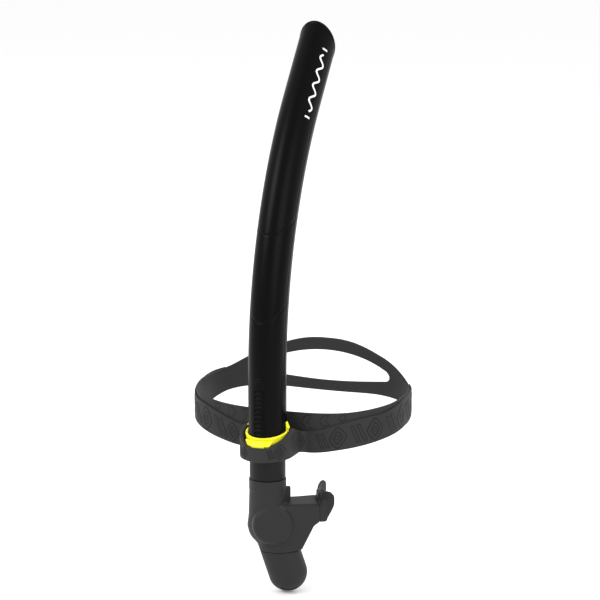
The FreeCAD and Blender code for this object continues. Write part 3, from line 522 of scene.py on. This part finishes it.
def make_head_strap():
    angle = loop_angles(0.62)
    ends = []
    probe = np.linspace(90.0, 180.0, 40001)
    probe_x = loop_plan(probe, -STRAP_THICK / 2)[:, 0]
    for inset in (-1.2, -0.8, -0.5, -0.28, -0.13, -0.04, 0.0, 0.03, 0.2, 0.5):
        spot = probe[np.argmin(np.abs(probe_x - (WINDOW_HALF + inset)))]
        ends += [spot, -spot]
    angle = np.array(sorted(list(angle) + ends))
    plan = loop_plan(angle, -STRAP_THICK / 2)
    normal = path_normals(plan, closed=True)
    outward = np.sign(np.sum(normal * plan, axis=1))[:, None] * normal
    top, floor = height_at(STRAP_TOP, angle), height_at(STRAP_FLOOR, angle)

    behind = plan[:, 1] > 0
    within = behind & (np.abs(plan[:, 0]) < WINDOW_HALF)
    gap_low, gap_high = window_edges(plan[:, 0])
    end_level = float(window_edges(np.array([WINDOW_HALF]))[0][0])
    blend = smoothstep(60.0, 100.0, np.abs(angle))
    plain = (1 - blend) * (floor + top) / 2 + blend * np.clip(end_level, floor + 3, top - 3)
    gap_low = np.where(within, gap_low, plain)
    gap_high = np.where(within, gap_high, plain)

    interior = 20
    lower = band_levels(floor, gap_low, interior)
    upper = band_levels(gap_high, top, interior)
    level = np.concatenate([lower, upper], axis=1)

    # distance to the nearest moulded edge sets the thickness, so that every edge is round
    run = np.concatenate([[0.0], np.cumsum(np.hypot(*np.diff(plan, axis=0).T))])
    distance = np.minimum(level - floor[:, None], top[:, None] - level)
    outline_run = np.concatenate([run[within], run[within]])
    outline_level = np.concatenate([gap_low[within], gap_high[within]])
    for column in np.where(behind & (np.abs(plan[:, 0]) < WINDOW_HALF + 4.0))[0]:
        near = np.abs(outline_run - run[column]) < 5.0
        if near.any():
            gap = np.hypot(outline_run[near][None, :] - run[column],
                           outline_level[near][None, :] - level[column][:, None]).min(axis=1)
            distance[column] = np.minimum(distance[column], gap)
    half = edge_round(np.maximum(distance, 0.0), STRAP_THICK / 2)

    band_top = height_at(BAND_TOP, angle)[:, None]
    in_front = band_pass(9.0, 40.0, 1.0, np.abs(angle))[:, None]
    along = np.abs(run - run[len(run) // 2])[:, None]
    # line is painted shade and dust in the sunk outlines of the bars
    raised, line = outlined(chevron_field(along, level, band_top, top[:, None]))
    raised, line = raised * in_front, line * in_front
    shape = level.shape
    sides = []
    for sign, relief in ((1.0, raised), (-1.0, 0.0)):
        offset = sign * half + relief * (half > 0.3)
        xy = plan[:, None, :] + outward[:, None, :] * offset[:, :, None]
        sides.append(np.concatenate([xy, level[:, :, None]], axis=-1))
    points = np.concatenate([side.reshape(-1, 3) for side in sides])
    # painted shade and dust for the sunk outlines, on the outer side only
    groove_shade = np.concatenate([line.ravel(), np.zeros(line.size)])

    columns, rows = shape
    split = lower.shape[1]
    faces = []
    for first in (0, columns * rows):
        quads = grid_quads(columns, rows, closed_rows=True, closed_columns=False, first=first)
        row = (quads[:, 0] - first) % rows
        faces.append(quads[row != split - 1])
    return add_mesh("strap", points, faces, "headband", STRAP_SILICONE,
                    ["head_strap"], groove_shade)


WRAP_HALF_X, WRAP_FRONT, WRAP_FLOOR, WRAP_BEND, BAND_REACH = 21.1, 24.6, -20.0, 6.0, 116.0
WRAP_SIDE_WALL, WRAP_FRONT_WALL = 3.4, 1.9
DIP_HALF, DIP_HALF_TOP, DIP_FLOOR, DIP_ROOF = 9.9, 13.4, -8.4, -3.4    # room for the lever
WRAP_RISE, WRAP_FALL = (1.2, 0.36), (3.7, -0.37)     # level at the tube's axis, slope
WRAP_BLEND, NO_DIP = 0.3, 9.0


def wrap_top(x, y):
    """Top edge of the wrap: it rises backwards to the clip's ears, then falls to the strap."""
    top = np.minimum(WRAP_RISE[0] + WRAP_RISE[1] * y, WRAP_FALL[0] + WRAP_FALL[1] * y)
    dip = DIP_FLOOR + (DIP_ROOF - DIP_FLOOR) * (np.abs(x) - DIP_HALF) / (DIP_HALF_TOP - DIP_HALF)
    dip = np.where(y < 0, np.maximum(dip, DIP_FLOOR), NO_DIP)
    return -WRAP_BLEND * np.logaddexp(-top / WRAP_BLEND, -dip / WRAP_BLEND)


def band_path(step):
    """Outer plan line of the front band, with its floor, top and thickness."""
    bend = WRAP_BEND
    fine = np.linspace(BAND_REACH, 5.0, 6000)
    arm = loop_plan(fine, BAND_THICK)
    keep = (arm[:, 0] > WRAP_HALF_X + bend) | (fine > 60)
    arm, arm_angle = arm[keep], fine[keep]
    corner = np.array([WRAP_HALF_X + bend, arm[-1, 1] - bend])
    turn = np.linspace(0.0, math.pi / 2, 60)[1:]
    fillet = corner + bend * np.stack([-np.sin(turn), np.cos(turn)], axis=-1)
    straight = np.stack([np.full(30, WRAP_HALF_X), np.linspace(corner[1], AXIS_Y, 31)[1:]],
                        axis=-1)
    turn = np.linspace(0.0, math.pi / 2, 200)[1:]
    nose = np.stack([WRAP_HALF_X * np.cos(turn), AXIS_Y - WRAP_FRONT * np.sin(turn)], axis=-1)
    half = np.concatenate([arm, fillet, straight, nose])
    wrapped = np.concatenate([np.zeros(len(arm)), np.linspace(0, 1, len(fillet)),
                              np.ones(len(straight) + len(nose))])
    angle = np.concatenate([arm_angle, np.full(len(half) - len(arm), arm_angle[-1])])
    ease = wrapped * wrapped * (3 - 2 * wrapped)
    floor = (1 - ease) * height_at(STRAP_FLOOR, angle) + ease * WRAP_FLOOR
    top = (1 - ease) * height_at(BAND_TOP, angle) + ease * wrap_top(half[:, 0],
                                                                    half[:, 1] - AXIS_Y)
    ahead = np.clip((AXIS_Y - half[:, 1]) / WRAP_FRONT, 0.0, 1.0) ** 2
    wall = WRAP_SIDE_WALL + (WRAP_FRONT_WALL - WRAP_SIDE_WALL) * ahead
    thick = (1 - ease) * BAND_THICK + ease * wall
    table = np.column_stack([half, floor, top, thick])
    mirror = table[::-1][1:].copy()
    mirror[:, 0] *= -1
    table = np.concatenate([table, mirror])
    run = np.concatenate([[0.0], np.cumsum(np.hypot(*np.diff(table[:, :2], axis=0).T))])
    even = np.linspace(0, run[-1], int(run[-1] / step))
    ends = EDGE_STEPS[1:-1]
    even = np.sort(np.concatenate([even, ends, run[-1] - ends]))
    return np.column_stack([np.interp(even, run, table[:, i]) for i in range(5)]), even


TILE, TILE_HEIGHT, STROKE = 30.0, 19.0, 2.7
LOZENGE_X, LOZENGE_Z, LOZENGE_POWER, PEBBLE_RADIUS = 7.2, 9.6, 1.25, 1.8
BAR_LEAN, BAR_APART, BAR_REACH = 0.42, 2.9, 7.6


def tile_field(along, level, floor, top):
    """Repeating tiles: a lozenge round a pebble, then two slanting bars, drawn as strokes."""
    size = np.clip((top - floor - 4.6) / TILE_HEIGHT, 0.45, 1.1)
    across = (along % TILE - TILE / 2) / size
    up = (level - (floor + top) / 2) / size
    lozenge_at, bars_at = -TILE / 4, TILE / 4
    reach = (np.abs((across - lozenge_at) / LOZENGE_X) ** LOZENGE_POWER
             + np.abs(up / LOZENGE_Z) ** LOZENGE_POWER) ** (1 / LOZENGE_POWER)
    ring = np.abs((reach - 0.82) * 6.0) - STROKE / 2
    pebble = np.hypot(across - lozenge_at, up) - PEBBLE_RADIUS
    bars = np.abs(np.abs(across - bars_at - BAR_LEAN * up) - BAR_APART) - STROKE / 2
    bars = np.maximum(bars, np.abs(up) - BAR_REACH)
    return np.minimum(np.minimum(ring, pebble), bars) * size


BAND_FADE, BAND_END = 14.0, 0.3


def make_front_band():
    table, run = band_path(0.42)
    plan, floor, top, thick = table[:, :2], table[:, 2], table[:, 3], table[:, 4]
    normal = path_normals(plan, closed=False)
    outward = -normal if np.dot(normal[len(normal) // 2], (0.0, -1.0)) < 0 else normal
    fade = smoothstep(0.0, BAND_FADE, np.minimum(run, run[-1] - run))
    full, thick = thick, thick * (BAND_END + (1 - BAND_END) * fade)
    middle = plan - outward * (full - thick / 2)[:, None]
    level = band_levels(floor, top, 56)
    distance = np.minimum(level - floor[:, None], top[:, None] - level)
    distance = np.minimum(distance, np.minimum(run, run[-1] - run)[:, None])
    soft = edge_round(np.maximum(distance, 0.0), BAND_THICK / 2) / (BAND_THICK / 2)
    half = soft * thick[:, None] / 2
    along = run - run[-1] / 2
    # line is painted shade and dust in the sunk outlines of the tiles
    relief, line = outlined(tile_field(along[:, None], level, floor[:, None], top[:, None]))
    keep = smoothstep(5.0, 9.0, run[-1] / 2 - np.abs(along))[:, None] * (distance > 1.0)
    relief, line = relief * keep, line * keep
    sides = []
    for sign, raised in ((1.0, relief), (-1.0, 0.0)):
        offset = sign * half + raised
        xy = middle[:, None, :] + outward[:, None, :] * offset[:, :, None]
        sides.append(np.concatenate([xy, level[:, :, None]], axis=-1))
    columns, rows = level.shape
    faces = [grid_quads(columns, rows, closed_columns=False, first=first)
             for first in (0, columns * rows)]
    # painted shade and dust for the sunk outlines, on the outer side only
    groove_shade = np.concatenate([line.ravel(), np.zeros(line.size)])
    return add_mesh("front_wrap", np.concatenate([s.reshape(-1, 3) for s in sides]), faces,
                    "headband", STRAP_SILICONE, ["front_band"], groove_shade)


# ----------------------------------------------------------------------------------------------
# Distance fields: negative inside, in millimetres
# ----------------------------------------------------------------------------------------------
def union(a, b, blend=0.0):
    if blend <= 0:
        return np.minimum(a, b)
    share = np.clip(0.5 + 0.5 * (b - a) / blend, 0.0, 1.0)
    return b + (a - b) * share - blend * share * (1 - share)


def common(a, b, blend=0.0):
    return -union(-a, -b, blend)


def without(a, b, blend=0.0):
    return common(a, -b, blend)


def ellipse_field(p, q, half_p, half_q):
    near = np.sqrt((p / half_p) ** 2 + (q / half_q) ** 2) + 1e-6
    steep = np.sqrt((p / half_p ** 2) ** 2 + (q / half_q ** 2) ** 2) + 1e-6
    return near * (near - 1) / steep


def ball_field(x, y, z, half_x, radius):
    near = np.sqrt((x / half_x) ** 2 + (y / radius) ** 2 + (z / radius) ** 2) + 1e-6
    steep = np.sqrt((x / half_x ** 2) ** 2 + (y / radius ** 2) ** 2 + (z / radius ** 2) ** 2)
    return near * (near - 1) / (steep + 1e-6)


def frame_field(p, q, half_p, half_q, corner):
    """Rounded rectangle about the origin of p and q."""
    over_p, over_q = np.abs(p) - half_p + corner, np.abs(q) - half_q + corner
    return (np.hypot(np.maximum(over_p, 0), np.maximum(over_q, 0))
            + np.minimum(np.maximum(over_p, over_q), 0) - corner)


def block_field(x, y, z, low, high, corner=0.0):
    """Box between two corners, with rounded edges."""
    over = [np.abs(v - (a + b) / 2) - (b - a) / 2 + corner
            for v, a, b in zip((x, y, z), low, high)]
    outside = np.sqrt(sum(np.maximum(o, 0) ** 2 for o in over))
    return outside + np.minimum(np.maximum(np.maximum(over[0], over[1]), over[2]), 0) - corner


def field_mesh(name, field, low, high, step, place, body, slot, material, nodes):
    """The zero surface of a distance field as a piece, moved by the 4 by 4 matrix place."""
    axes = [np.arange(a, b + step, step, dtype=np.float32) for a, b in zip(low, high)]
    x, y, z = np.meshgrid(*axes, indexing="ij", sparse=True)
    values = np.broadcast_to(field(x, y, z), [len(a) for a in axes]).astype(np.float32)
    limit = 3.0 * step
    grid = openvdb.FloatGrid(limit)
    grid.copyFromArray(np.ascontiguousarray(np.clip(values, -limit, limit)))
    points, triangles, quads = grid.convertToPolygons(isovalue=0.0, adaptivity=0.0)
    points = np.asarray(points) * step + np.array(low)
    turn = np.array(place)
    points = points @ turn[:3, :3].T + turn[:3, 3]
    return add_mesh(name, points, [np.asarray(quads), np.asarray(triangles)], body,
                    material, nodes)


TUBE_PLACE = Matrix.Translation((0, AXIS_Y, 0))
PORT_AXIS = [m for m in frame["record"]["mounts"] if m["name"] == "bite_grip"][0]["axis"]
MOUTH_TURN = math.atan2(-PORT_AXIS[0], PORT_AXIS[1])
MOUTH_PLACE = TUBE_PLACE @ Matrix.Rotation(MOUTH_TURN, 4, "Z")


# ----------------------------------------------------------------------------------------------
# Clip and latch lever
# ----------------------------------------------------------------------------------------------
CLIP_GAP, CLIP_WALL, CLIP_FLOOR, CLIP_TOP, CLIP_SLOPE = 0.3, 1.4, -18.8, 0.5, 0.14
RIM_GROW, RIM_THICK, REAR_TOP = 0.5, 1.2, -1.2
EAR_FRONT, EAR_BACK, EAR_TOP, EAR_STEM, EAR_BARB, BARB_LEVEL = 0.5, 4.5, 7.7, 0.95, 2.25, 2.9
LEVER_INNER, LEVER_THICK, LEVER_HALF, LEVER_HALF_TOP = 2.9, 1.8, 9.3, 11.6
LEVER_TOP, LEVER_SHOULDER, LEVER_FLOOR = -3.9, -8.2, -16.4
PIN_LEVEL = JOINTS["latch_press"]["pos_m"][2] / MM
PIN_FRONT = AXIS_Y - JOINTS["latch_press"]["pos_m"][1] / MM
LUG_INNER, LUG_OUTER, LUG_HALF_Z = 5.9, 7.9, 1.9
STEM_HALF, HUB_RADIUS, TOOTH_HALF, TOOTH_GAP, TOOTH_ROOF = 5.4, 1.3, 3.6, 0.35, -15.1
CLIP_PIN_HOLE, LEVER_PIN_HOLE = 0.6, 0.66
CLIP_STEP = 0.25
LEVER_STEP = CLIP_STEP * 0.7


def clip_oval(x, y, grow):
    return ellipse_field(x, y, TUBE_HALF_X + CLIP_GAP + grow, TUBE_HALF_Y + CLIP_GAP + grow)


def clip_field(x, y, z):
    lean = math.hypot(1.0, CLIP_SLOPE)
    above = (z - CLIP_TOP - CLIP_SLOPE * y) / lean
    sleeve = common(clip_oval(x, y, CLIP_WALL), CLIP_FLOOR - z, 0.4)
    rim = common(clip_oval(x, y, CLIP_WALL + RIM_GROW), -RIM_THICK - above, 0.3)
    body = common(union(sleeve, rim, 0.3), above, 0.5)
    body = common(body, union(y - EAR_BACK, z - REAR_TOP), 0.3)
    across = np.abs(x) - TUBE_HALF_X - CLIP_GAP - 0.05
    stem = common(across - EAR_STEM, z - BARB_LEVEL - 1)
    drop = (EAR_TOP - BARB_LEVEL) / EAR_BARB
    head = common((z - EAR_TOP + across * drop) / math.hypot(1, drop), BARB_LEVEL - 0.5 - z, 0.3)
    ear = common(union(stem, head, 0.2), np.maximum(-across, CLIP_TOP - 1.5 - z))
    ear = common(ear, np.maximum(EAR_FRONT - y, y - EAR_BACK), 0.5)
    body = union(body, ear, 0.3)
    lug = block_field(np.abs(x), y, z, (LUG_INNER, -24.0, PIN_LEVEL - LUG_HALF_Z),
                      (LUG_OUTER, -10.0, PIN_LEVEL + LUG_HALF_Z), 0.3)
    lug = common(lug, clip_oval(x, y, LEVER_INNER + LEVER_THICK), 0.4)
    body = union(body, lug, 0.3)
    body = without(body, clip_oval(x, y, 0.0), 0.3)
    window = block_field(x, y, z, (-LUG_INNER, -30, -17.0), (LUG_INNER, 0, -9.6), 0.4)
    body = without(body, window, 0.2)
    strap_face = -AXIS_Y - LOOP_HALF_Y
    body = common(body, y - strap_face + 0.1, 0.3)
    hole = np.hypot(y + PIN_FRONT, z - PIN_LEVEL) - CLIP_PIN_HOLE
    return without(body, hole)


def lever_field(x, y, z):
    shell = common(clip_oval(x, y, LEVER_INNER + LEVER_THICK), -clip_oval(x, y, LEVER_INNER), 0.5)
    flare = (LEVER_HALF_TOP - LEVER_HALF) / (LEVER_TOP - LEVER_SHOULDER)
    ends = (np.abs(x) - LEVER_HALF - flare * (z - LEVER_SHOULDER)) / math.hypot(1, flare)
    tab = common(common(ends, z - LEVER_TOP, 0.9), LEVER_SHOULDER - z, 0.7)
    stem = block_field(x, y, z, (-STEM_HALF, -30, LEVER_FLOOR),
                       (STEM_HALF, 0, LEVER_SHOULDER + 1), 0.5)
    lever = common(shell, union(tab, stem, 0.5), 0.6)
    along_pin = np.hypot(y + PIN_FRONT, z - PIN_LEVEL)
    hub = common(along_pin - HUB_RADIUS, np.abs(x) - STEM_HALF, 0.3)
    tooth = block_field(x, y, z, (-TOOTH_HALF, -PIN_FRONT, LEVER_FLOOR),
                        (TOOTH_HALF, -TUBE_HALF_Y - TOOTH_GAP, TOOTH_ROOF), 0.3)
    lever = union(union(lever, hub, 0.4), tooth, 0.3)
    for drop in (1.3, 2.5):
        groove = np.hypot(clip_oval(x, y, LEVER_INNER + LEVER_THICK), z - LEVER_TOP + drop)
        lever = without(lever, groove - 0.28, 0.15)
    lever = without(lever, along_pin - LEVER_PIN_HOLE)
    room = block_field(x, y, z, (-1.5, -PIN_FRONT - 1.2, PIN_LEVEL - 1.75),
                       (1.5, 0, PIN_LEVEL + 1.75))
    return without(lever, room, 0.1)


def make_clip():
    field_mesh("clip", clip_field, (-19, -23, -20), (19, 20, 9), CLIP_STEP, TUBE_PLACE,
               "headband", "clip_yellow", CLIP_YELLOW, ["tube_clip"])
    field_mesh("latch", lever_field, (-12.5, -23, -17.5), (12.5, -13, -3), LEVER_STEP,
               TUBE_PLACE, "latch", "clip_yellow", CLIP_YELLOW, ["latch_lever"])


# ----------------------------------------------------------------------------------------------
# Mouthpiece, in its own frame: X across, Y towards the mouth
# ----------------------------------------------------------------------------------------------
SKIN, SLEEVE_WIDEN, CUFF_GROW = 2.0, 0.9, 0.25
BUSH_RADIUS, BUSH_FLOOR, RIB_HALF = 13.0, -54.4, 2.2
SLEEVE_RADIUS, SLEEVE_TOP, CUFF_FLOOR = 14.4, -38.3, -47.0
BOWL_LEVEL, BOWL_RADIUS, BOWL_HALF_X = -77.0, 16.0, 15.0
CHEEK_RUN, CHEEK_LEVEL, CHEEK_RADIUS, CHEEK_HALF_X, CHEEK_ROUND = 2.3, -73.5, 16.0, 15.9, 3.6
SUMP_START, SUMP_RUN, SUMP_LEVEL, SUMP_RADIUS, SUMP_HALF_X = 3.2, 16.0, -116.6, 15.4, 12.4
NECK_ROOF, NECK_START, NECK_END = -58.0, 4.0, 39.2
NECK_RUN = [4.0, 25.5, 34.8, 39.2]
NECK_HALF = [12.6, 13.6, 14.6, 15.2]
NECK_FLOOR = [-96.0, -95.5, -76.5, -73.0]
SPLIT_LEVEL = -97.3
MOUTH_STEP = 0.42


def sump_field(x, y, z, shrink):
    run, fall = SUMP_RUN - SUMP_START, SUMP_LEVEL - BOWL_LEVEL
    length = math.hypot(run, fall)
    along = ((y - SUMP_START) * run + (z - BOWL_LEVEL) * fall) / length
    beyond = along - np.clip(along, 0.0, length)
    across = ((y - SUMP_START) * fall - (z - BOWL_LEVEL) * run) / length
    return ball_field(x, across, beyond, SUMP_HALF_X - shrink, SUMP_RADIUS - shrink)


def neck_field(x, y, z, shrink, extra=0.0):
    floor = np.interp(y, NECK_RUN, NECK_FLOOR)
    half_x = np.interp(y, NECK_RUN, NECK_HALF)
    middle, half_z = (NECK_ROOF + floor) / 2, (NECK_ROOF - floor) / 2
    section = frame_field(x, z - middle, half_x - shrink, half_z - shrink, 3.6 - shrink / 2)
    return common(section * 0.75, np.maximum(NECK_START - y, y - NECK_END - extra), 0.6)


def cheek_field(x, y, z, shrink):
    """The flat round cheek on each side of the bowl."""
    out = np.hypot(y - CHEEK_RUN, z - CHEEK_LEVEL) - CHEEK_RADIUS + shrink + CHEEK_ROUND
    side = np.abs(x) - CHEEK_HALF_X + shrink + CHEEK_ROUND
    return (np.hypot(np.maximum(out, 0), np.maximum(side, 0))
            + np.minimum(np.maximum(out, side), 0) - CHEEK_ROUND)


def mouth_field(x, y, z, shrink, crease):
    """Union of sleeve, sump, neck, bowl and cheeks; crease is the blend between them."""
    widen = SLEEVE_WIDEN * np.clip((CUFF_FLOOR - z) / (CUFF_FLOOR - BOWL_LEVEL), 0.0, 1.0)
    sleeve = common(np.hypot(x, y) - SLEEVE_RADIUS - widen + shrink,
                    np.maximum(z - SLEEVE_TOP, BOWL_LEVEL - z))
    bowl = ball_field(x, y - 0.3, z - BOWL_LEVEL, BOWL_HALF_X - shrink, BOWL_RADIUS - shrink)
    form = union(union(sleeve, bowl, 2.0), sump_field(x, y, z, shrink), crease * 4)
    form = union(form, neck_field(x, y, z, shrink, 4.0 if shrink else 0.0), crease * 2)
    return union(form, cheek_field(x, y, z, shrink), crease)


def body_field(x, y, z):
    outer = mouth_field(x, y, z, 0.0, 0.5)
    cuff = common(np.hypot(x, y) - SLEEVE_RADIUS - CUFF_GROW,
                  np.maximum(z - SLEEVE_TOP, CUFF_FLOOR - z), 0.3)
    outer = union(outer, cuff, 0.1)
    rib = block_field(x, y, z, (-RIB_HALF, 10, -60), (RIB_HALF, 18.0, -46.4), 0.7)
    outer = union(outer, rib, 0.6)
    outer = common(outer, z - SLEEVE_TOP, 0.6)
    inner = mouth_field(x, y, z, SKIN, 1.5)
    bush_bore = np.hypot(x, y) - BUSH_RADIUS
    hollow = union(union(inner, common(bush_bore, BUSH_FLOOR - z)),
                   common(bush_bore, SLEEVE_TOP - 1 - z))
    return common(without(outer, hollow, 0.3), SPLIT_LEVEL + 0.12 - z, 0.4)


def cover_field(x, y, z):
    outer = sump_field(x, y, z, 0.0)
    shell = without(outer, sump_field(x, y, z, SKIN))
    shell = common(shell, z - SPLIT_LEVEL + 0.12, 0.4)
    for index in range(4):
        offset = (index - 1.5) * 4.6
        slot = block_field(x, y, z, (offset - 1.1, SUMP_RUN - 6.5, -150),
                           (offset + 1.1, SUMP_RUN + 6.5, SUMP_LEVEL - 4), 1.0)
        shell = without(shell, slot, 0.4)
    return shell


FLANGE_FACE, FLANGE_THICK, FLANGE_RADIUS, PORT_LEVEL = 39.4, 2.2, 26.0, -64.3
FLANGE_TOP = [(0.0, -50.2), (4.0, -50.0), (9.0, -48.6), (14.0, -47.2), (17.0, -47.1),
              (19.0, -48.8), (20.0, -53.0)]
FLANGE_BOTTOM = [(0.0, -75.4), (5.0, -74.8), (10.0, -72.6), (14.0, -69.4), (17.0, -65.0),
                 (19.0, -59.5), (20.0, -53.0)]
PORT_HALF_X, PORT_HALF_Z, PORT_ROUND = 10.5, 4.7, 4.2
BITE_OFFSET, BITE_END, BITE_LEVEL, BITE_HALF = 13.4, 47.4, -59.0, 4.2


def flange_field(x, y, z):
    across = np.abs(x)
    axis_y = FLANGE_FACE + FLANGE_THICK / 2 + FLANGE_RADIUS
    bend = np.hypot(x, axis_y - y) - FLANGE_RADIUS
    top = np.interp(across, *np.array(FLANGE_TOP).T)
    bottom = np.interp(across, *np.array(FLANGE_BOTTOM).T)
    wing = common(common((z - top) * 0.85, (bottom - z) * 0.75, 1.6), across - 19.9, 0.8)
    plate = np.abs(bend) - FLANGE_THICK / 2 * (0.62 + 0.38 * np.clip(-wing / 5.0, 0.0, 1.0))
    form = common(common(plate, wing, 1.5), y - axis_y)
    section = frame_field(x, z - (NECK_ROOF + NECK_FLOOR[-1]) / 2, NECK_HALF[-1],
                          (NECK_ROOF - NECK_FLOOR[-1]) / 2, 3.6)
    collar = common(section, np.maximum(NECK_END - y, -bend), 0.4)
    form = union(form, collar, 1.6)
    root = block_field(x, y, z, (-5.0, NECK_END, -60.0), (5.0, FLANGE_FACE + 1.4, -51.6), 1.0)
    form = union(form, root, 1.5)
    tab = block_field(across, y, z, (BITE_OFFSET - 1.7, 41.0, BITE_LEVEL - BITE_HALF),
                      (BITE_OFFSET + 1.7, BITE_END, BITE_LEVEL + BITE_HALF), 1.2)
    ridge = block_field(across, y, z, (BITE_OFFSET - 2.6, BITE_END - 2.2, BITE_LEVEL - BITE_HALF),
                        (BITE_OFFSET + 2.6, BITE_END, BITE_LEVEL + BITE_HALF), 0.9)
    form = union(form, union(tab, ridge, 0.8), 1.2)
    port = frame_field(x, z - PORT_LEVEL, PORT_HALF_X, PORT_HALF_Z, PORT_ROUND)
    return common(without(form, port, 0.7), NECK_END + 0.02 - y)


def make_mouthpiece():
    common_args = (MOUTH_PLACE, "mouthpiece", "mouth_silicone", MOUTH_SILICONE)
    field_mesh("mouthpiece", body_field, (-19, -18, -99), (19, 41, -37), MOUTH_STEP,
               *common_args, ["mouthpiece_body"])
    field_mesh("sump_cover", cover_field, (-15, -13, -134), (15, 34, -96), MOUTH_STEP,
               *common_args, ["purge_cover"])
    field_mesh("bite_flange", flange_field, (-22, 38, -77), (22, 54, -44), MOUTH_STEP,
               *common_args, ["lip_flange"])


# ----------------------------------------------------------------------------------------------
# Stage, light and camera
# ----------------------------------------------------------------------------------------------
CAMERA_TURN, CAMERA_RISE, CAMERA_DISTANCE = math.radians(21.0), math.radians(12.0), 1.8
CAMERA_LENS, CAMERA_SENSOR = 138.46, 36.0
AIM_RIGHT, AIM_UP = 0.02535, 0.1014       # from the tube's axis at clip level, in the picture plane
FLOOR_HALF, FLOOR_DROP = 14.0, 0.001


def make_camera():
    right = Vector((math.cos(CAMERA_TURN), math.sin(CAMERA_TURN), 0.0))
    ahead = Vector((-math.sin(CAMERA_TURN) * math.cos(CAMERA_RISE),
                    math.cos(CAMERA_TURN) * math.cos(CAMERA_RISE), -math.sin(CAMERA_RISE)))
    up = right.cross(ahead)
    aim = Vector((0.0, AXIS_Y * MM, 0.0)) + right * AIM_RIGHT + up * AIM_UP
    camera = bpy.data.objects.new("camera", bpy.data.cameras.new("camera"))
    camera.data.lens = CAMERA_LENS
    camera.data.sensor_width = CAMERA_SENSOR
    camera.data.clip_end = 20.0
    camera.matrix_world = Matrix.Translation(aim - ahead * CAMERA_DISTANCE) @ Matrix(
        (right, up, -ahead)).transposed().to_4x4()
    bpy.context.scene.collection.objects.link(camera)
    bpy.context.scene.camera = camera


def make_stage():
    floor_level = CAD_BOX[0][2] - FLOOR_DROP
    mesh = bpy.data.meshes.new("floor")
    size = FLOOR_HALF
    mesh.from_pydata([(-size, -size, floor_level), (size, -size, floor_level),
                      (size, size, floor_level), (-size, size, floor_level)], [], [(0, 1, 2, 3)])
    floor = bpy.data.objects.new("floor", mesh)
    bpy.context.scene.collection.objects.link(floor)
    material = bpy.data.materials.new("floor_pale")
    material.use_nodes = True
    shader = material.node_tree.nodes["Principled BSDF"]
    shader.inputs["Base Color"].default_value = (0.97, 0.97, 0.97, 1.0)
    shader.inputs["Roughness"].default_value = 0.9
    shader.inputs["Specular IOR Level"].default_value = 0.1
    mesh.materials.append(material)


def add_area_light(name, place, aim, size, power):
    light = bpy.data.lights.new(name, "AREA")
    light.shape = "DISK"
    light.size = size
    light.energy = power
    lamp = bpy.data.objects.new(name, light)
    lamp.location = place
    lamp.rotation_euler = (Vector(aim) - Vector(place)).to_track_quat("-Z", "Y").to_euler()
    bpy.context.scene.collection.objects.link(lamp)


def make_light():
    world = bpy.data.worlds.new("studio")
    bpy.context.scene.world = world
    world.use_nodes = True
    world.node_tree.nodes["Background"].inputs["Color"].default_value = (1.0, 1.0, 1.0, 1.0)
    world.node_tree.nodes["Background"].inputs["Strength"].default_value = 1.0
    bpy.context.scene.view_settings.view_transform = "Standard"
    aim = (0.0, -0.04, 0.08)
    add_area_light("key", (-1.1, -1.5, 1.5), aim, 1.2, 26.0)
    add_area_light("fill", (1.6, -1.0, 0.9), aim, 1.4, 12.0)
    add_area_light("rim", (0.6, 1.6, 1.4), aim, 1.0, 14.0)


make_camera()
make_stage()
make_light()
make_tube()
make_print_mark()
make_connector()
make_head_strap()
make_front_band()
make_clip()
make_mouthpiece()
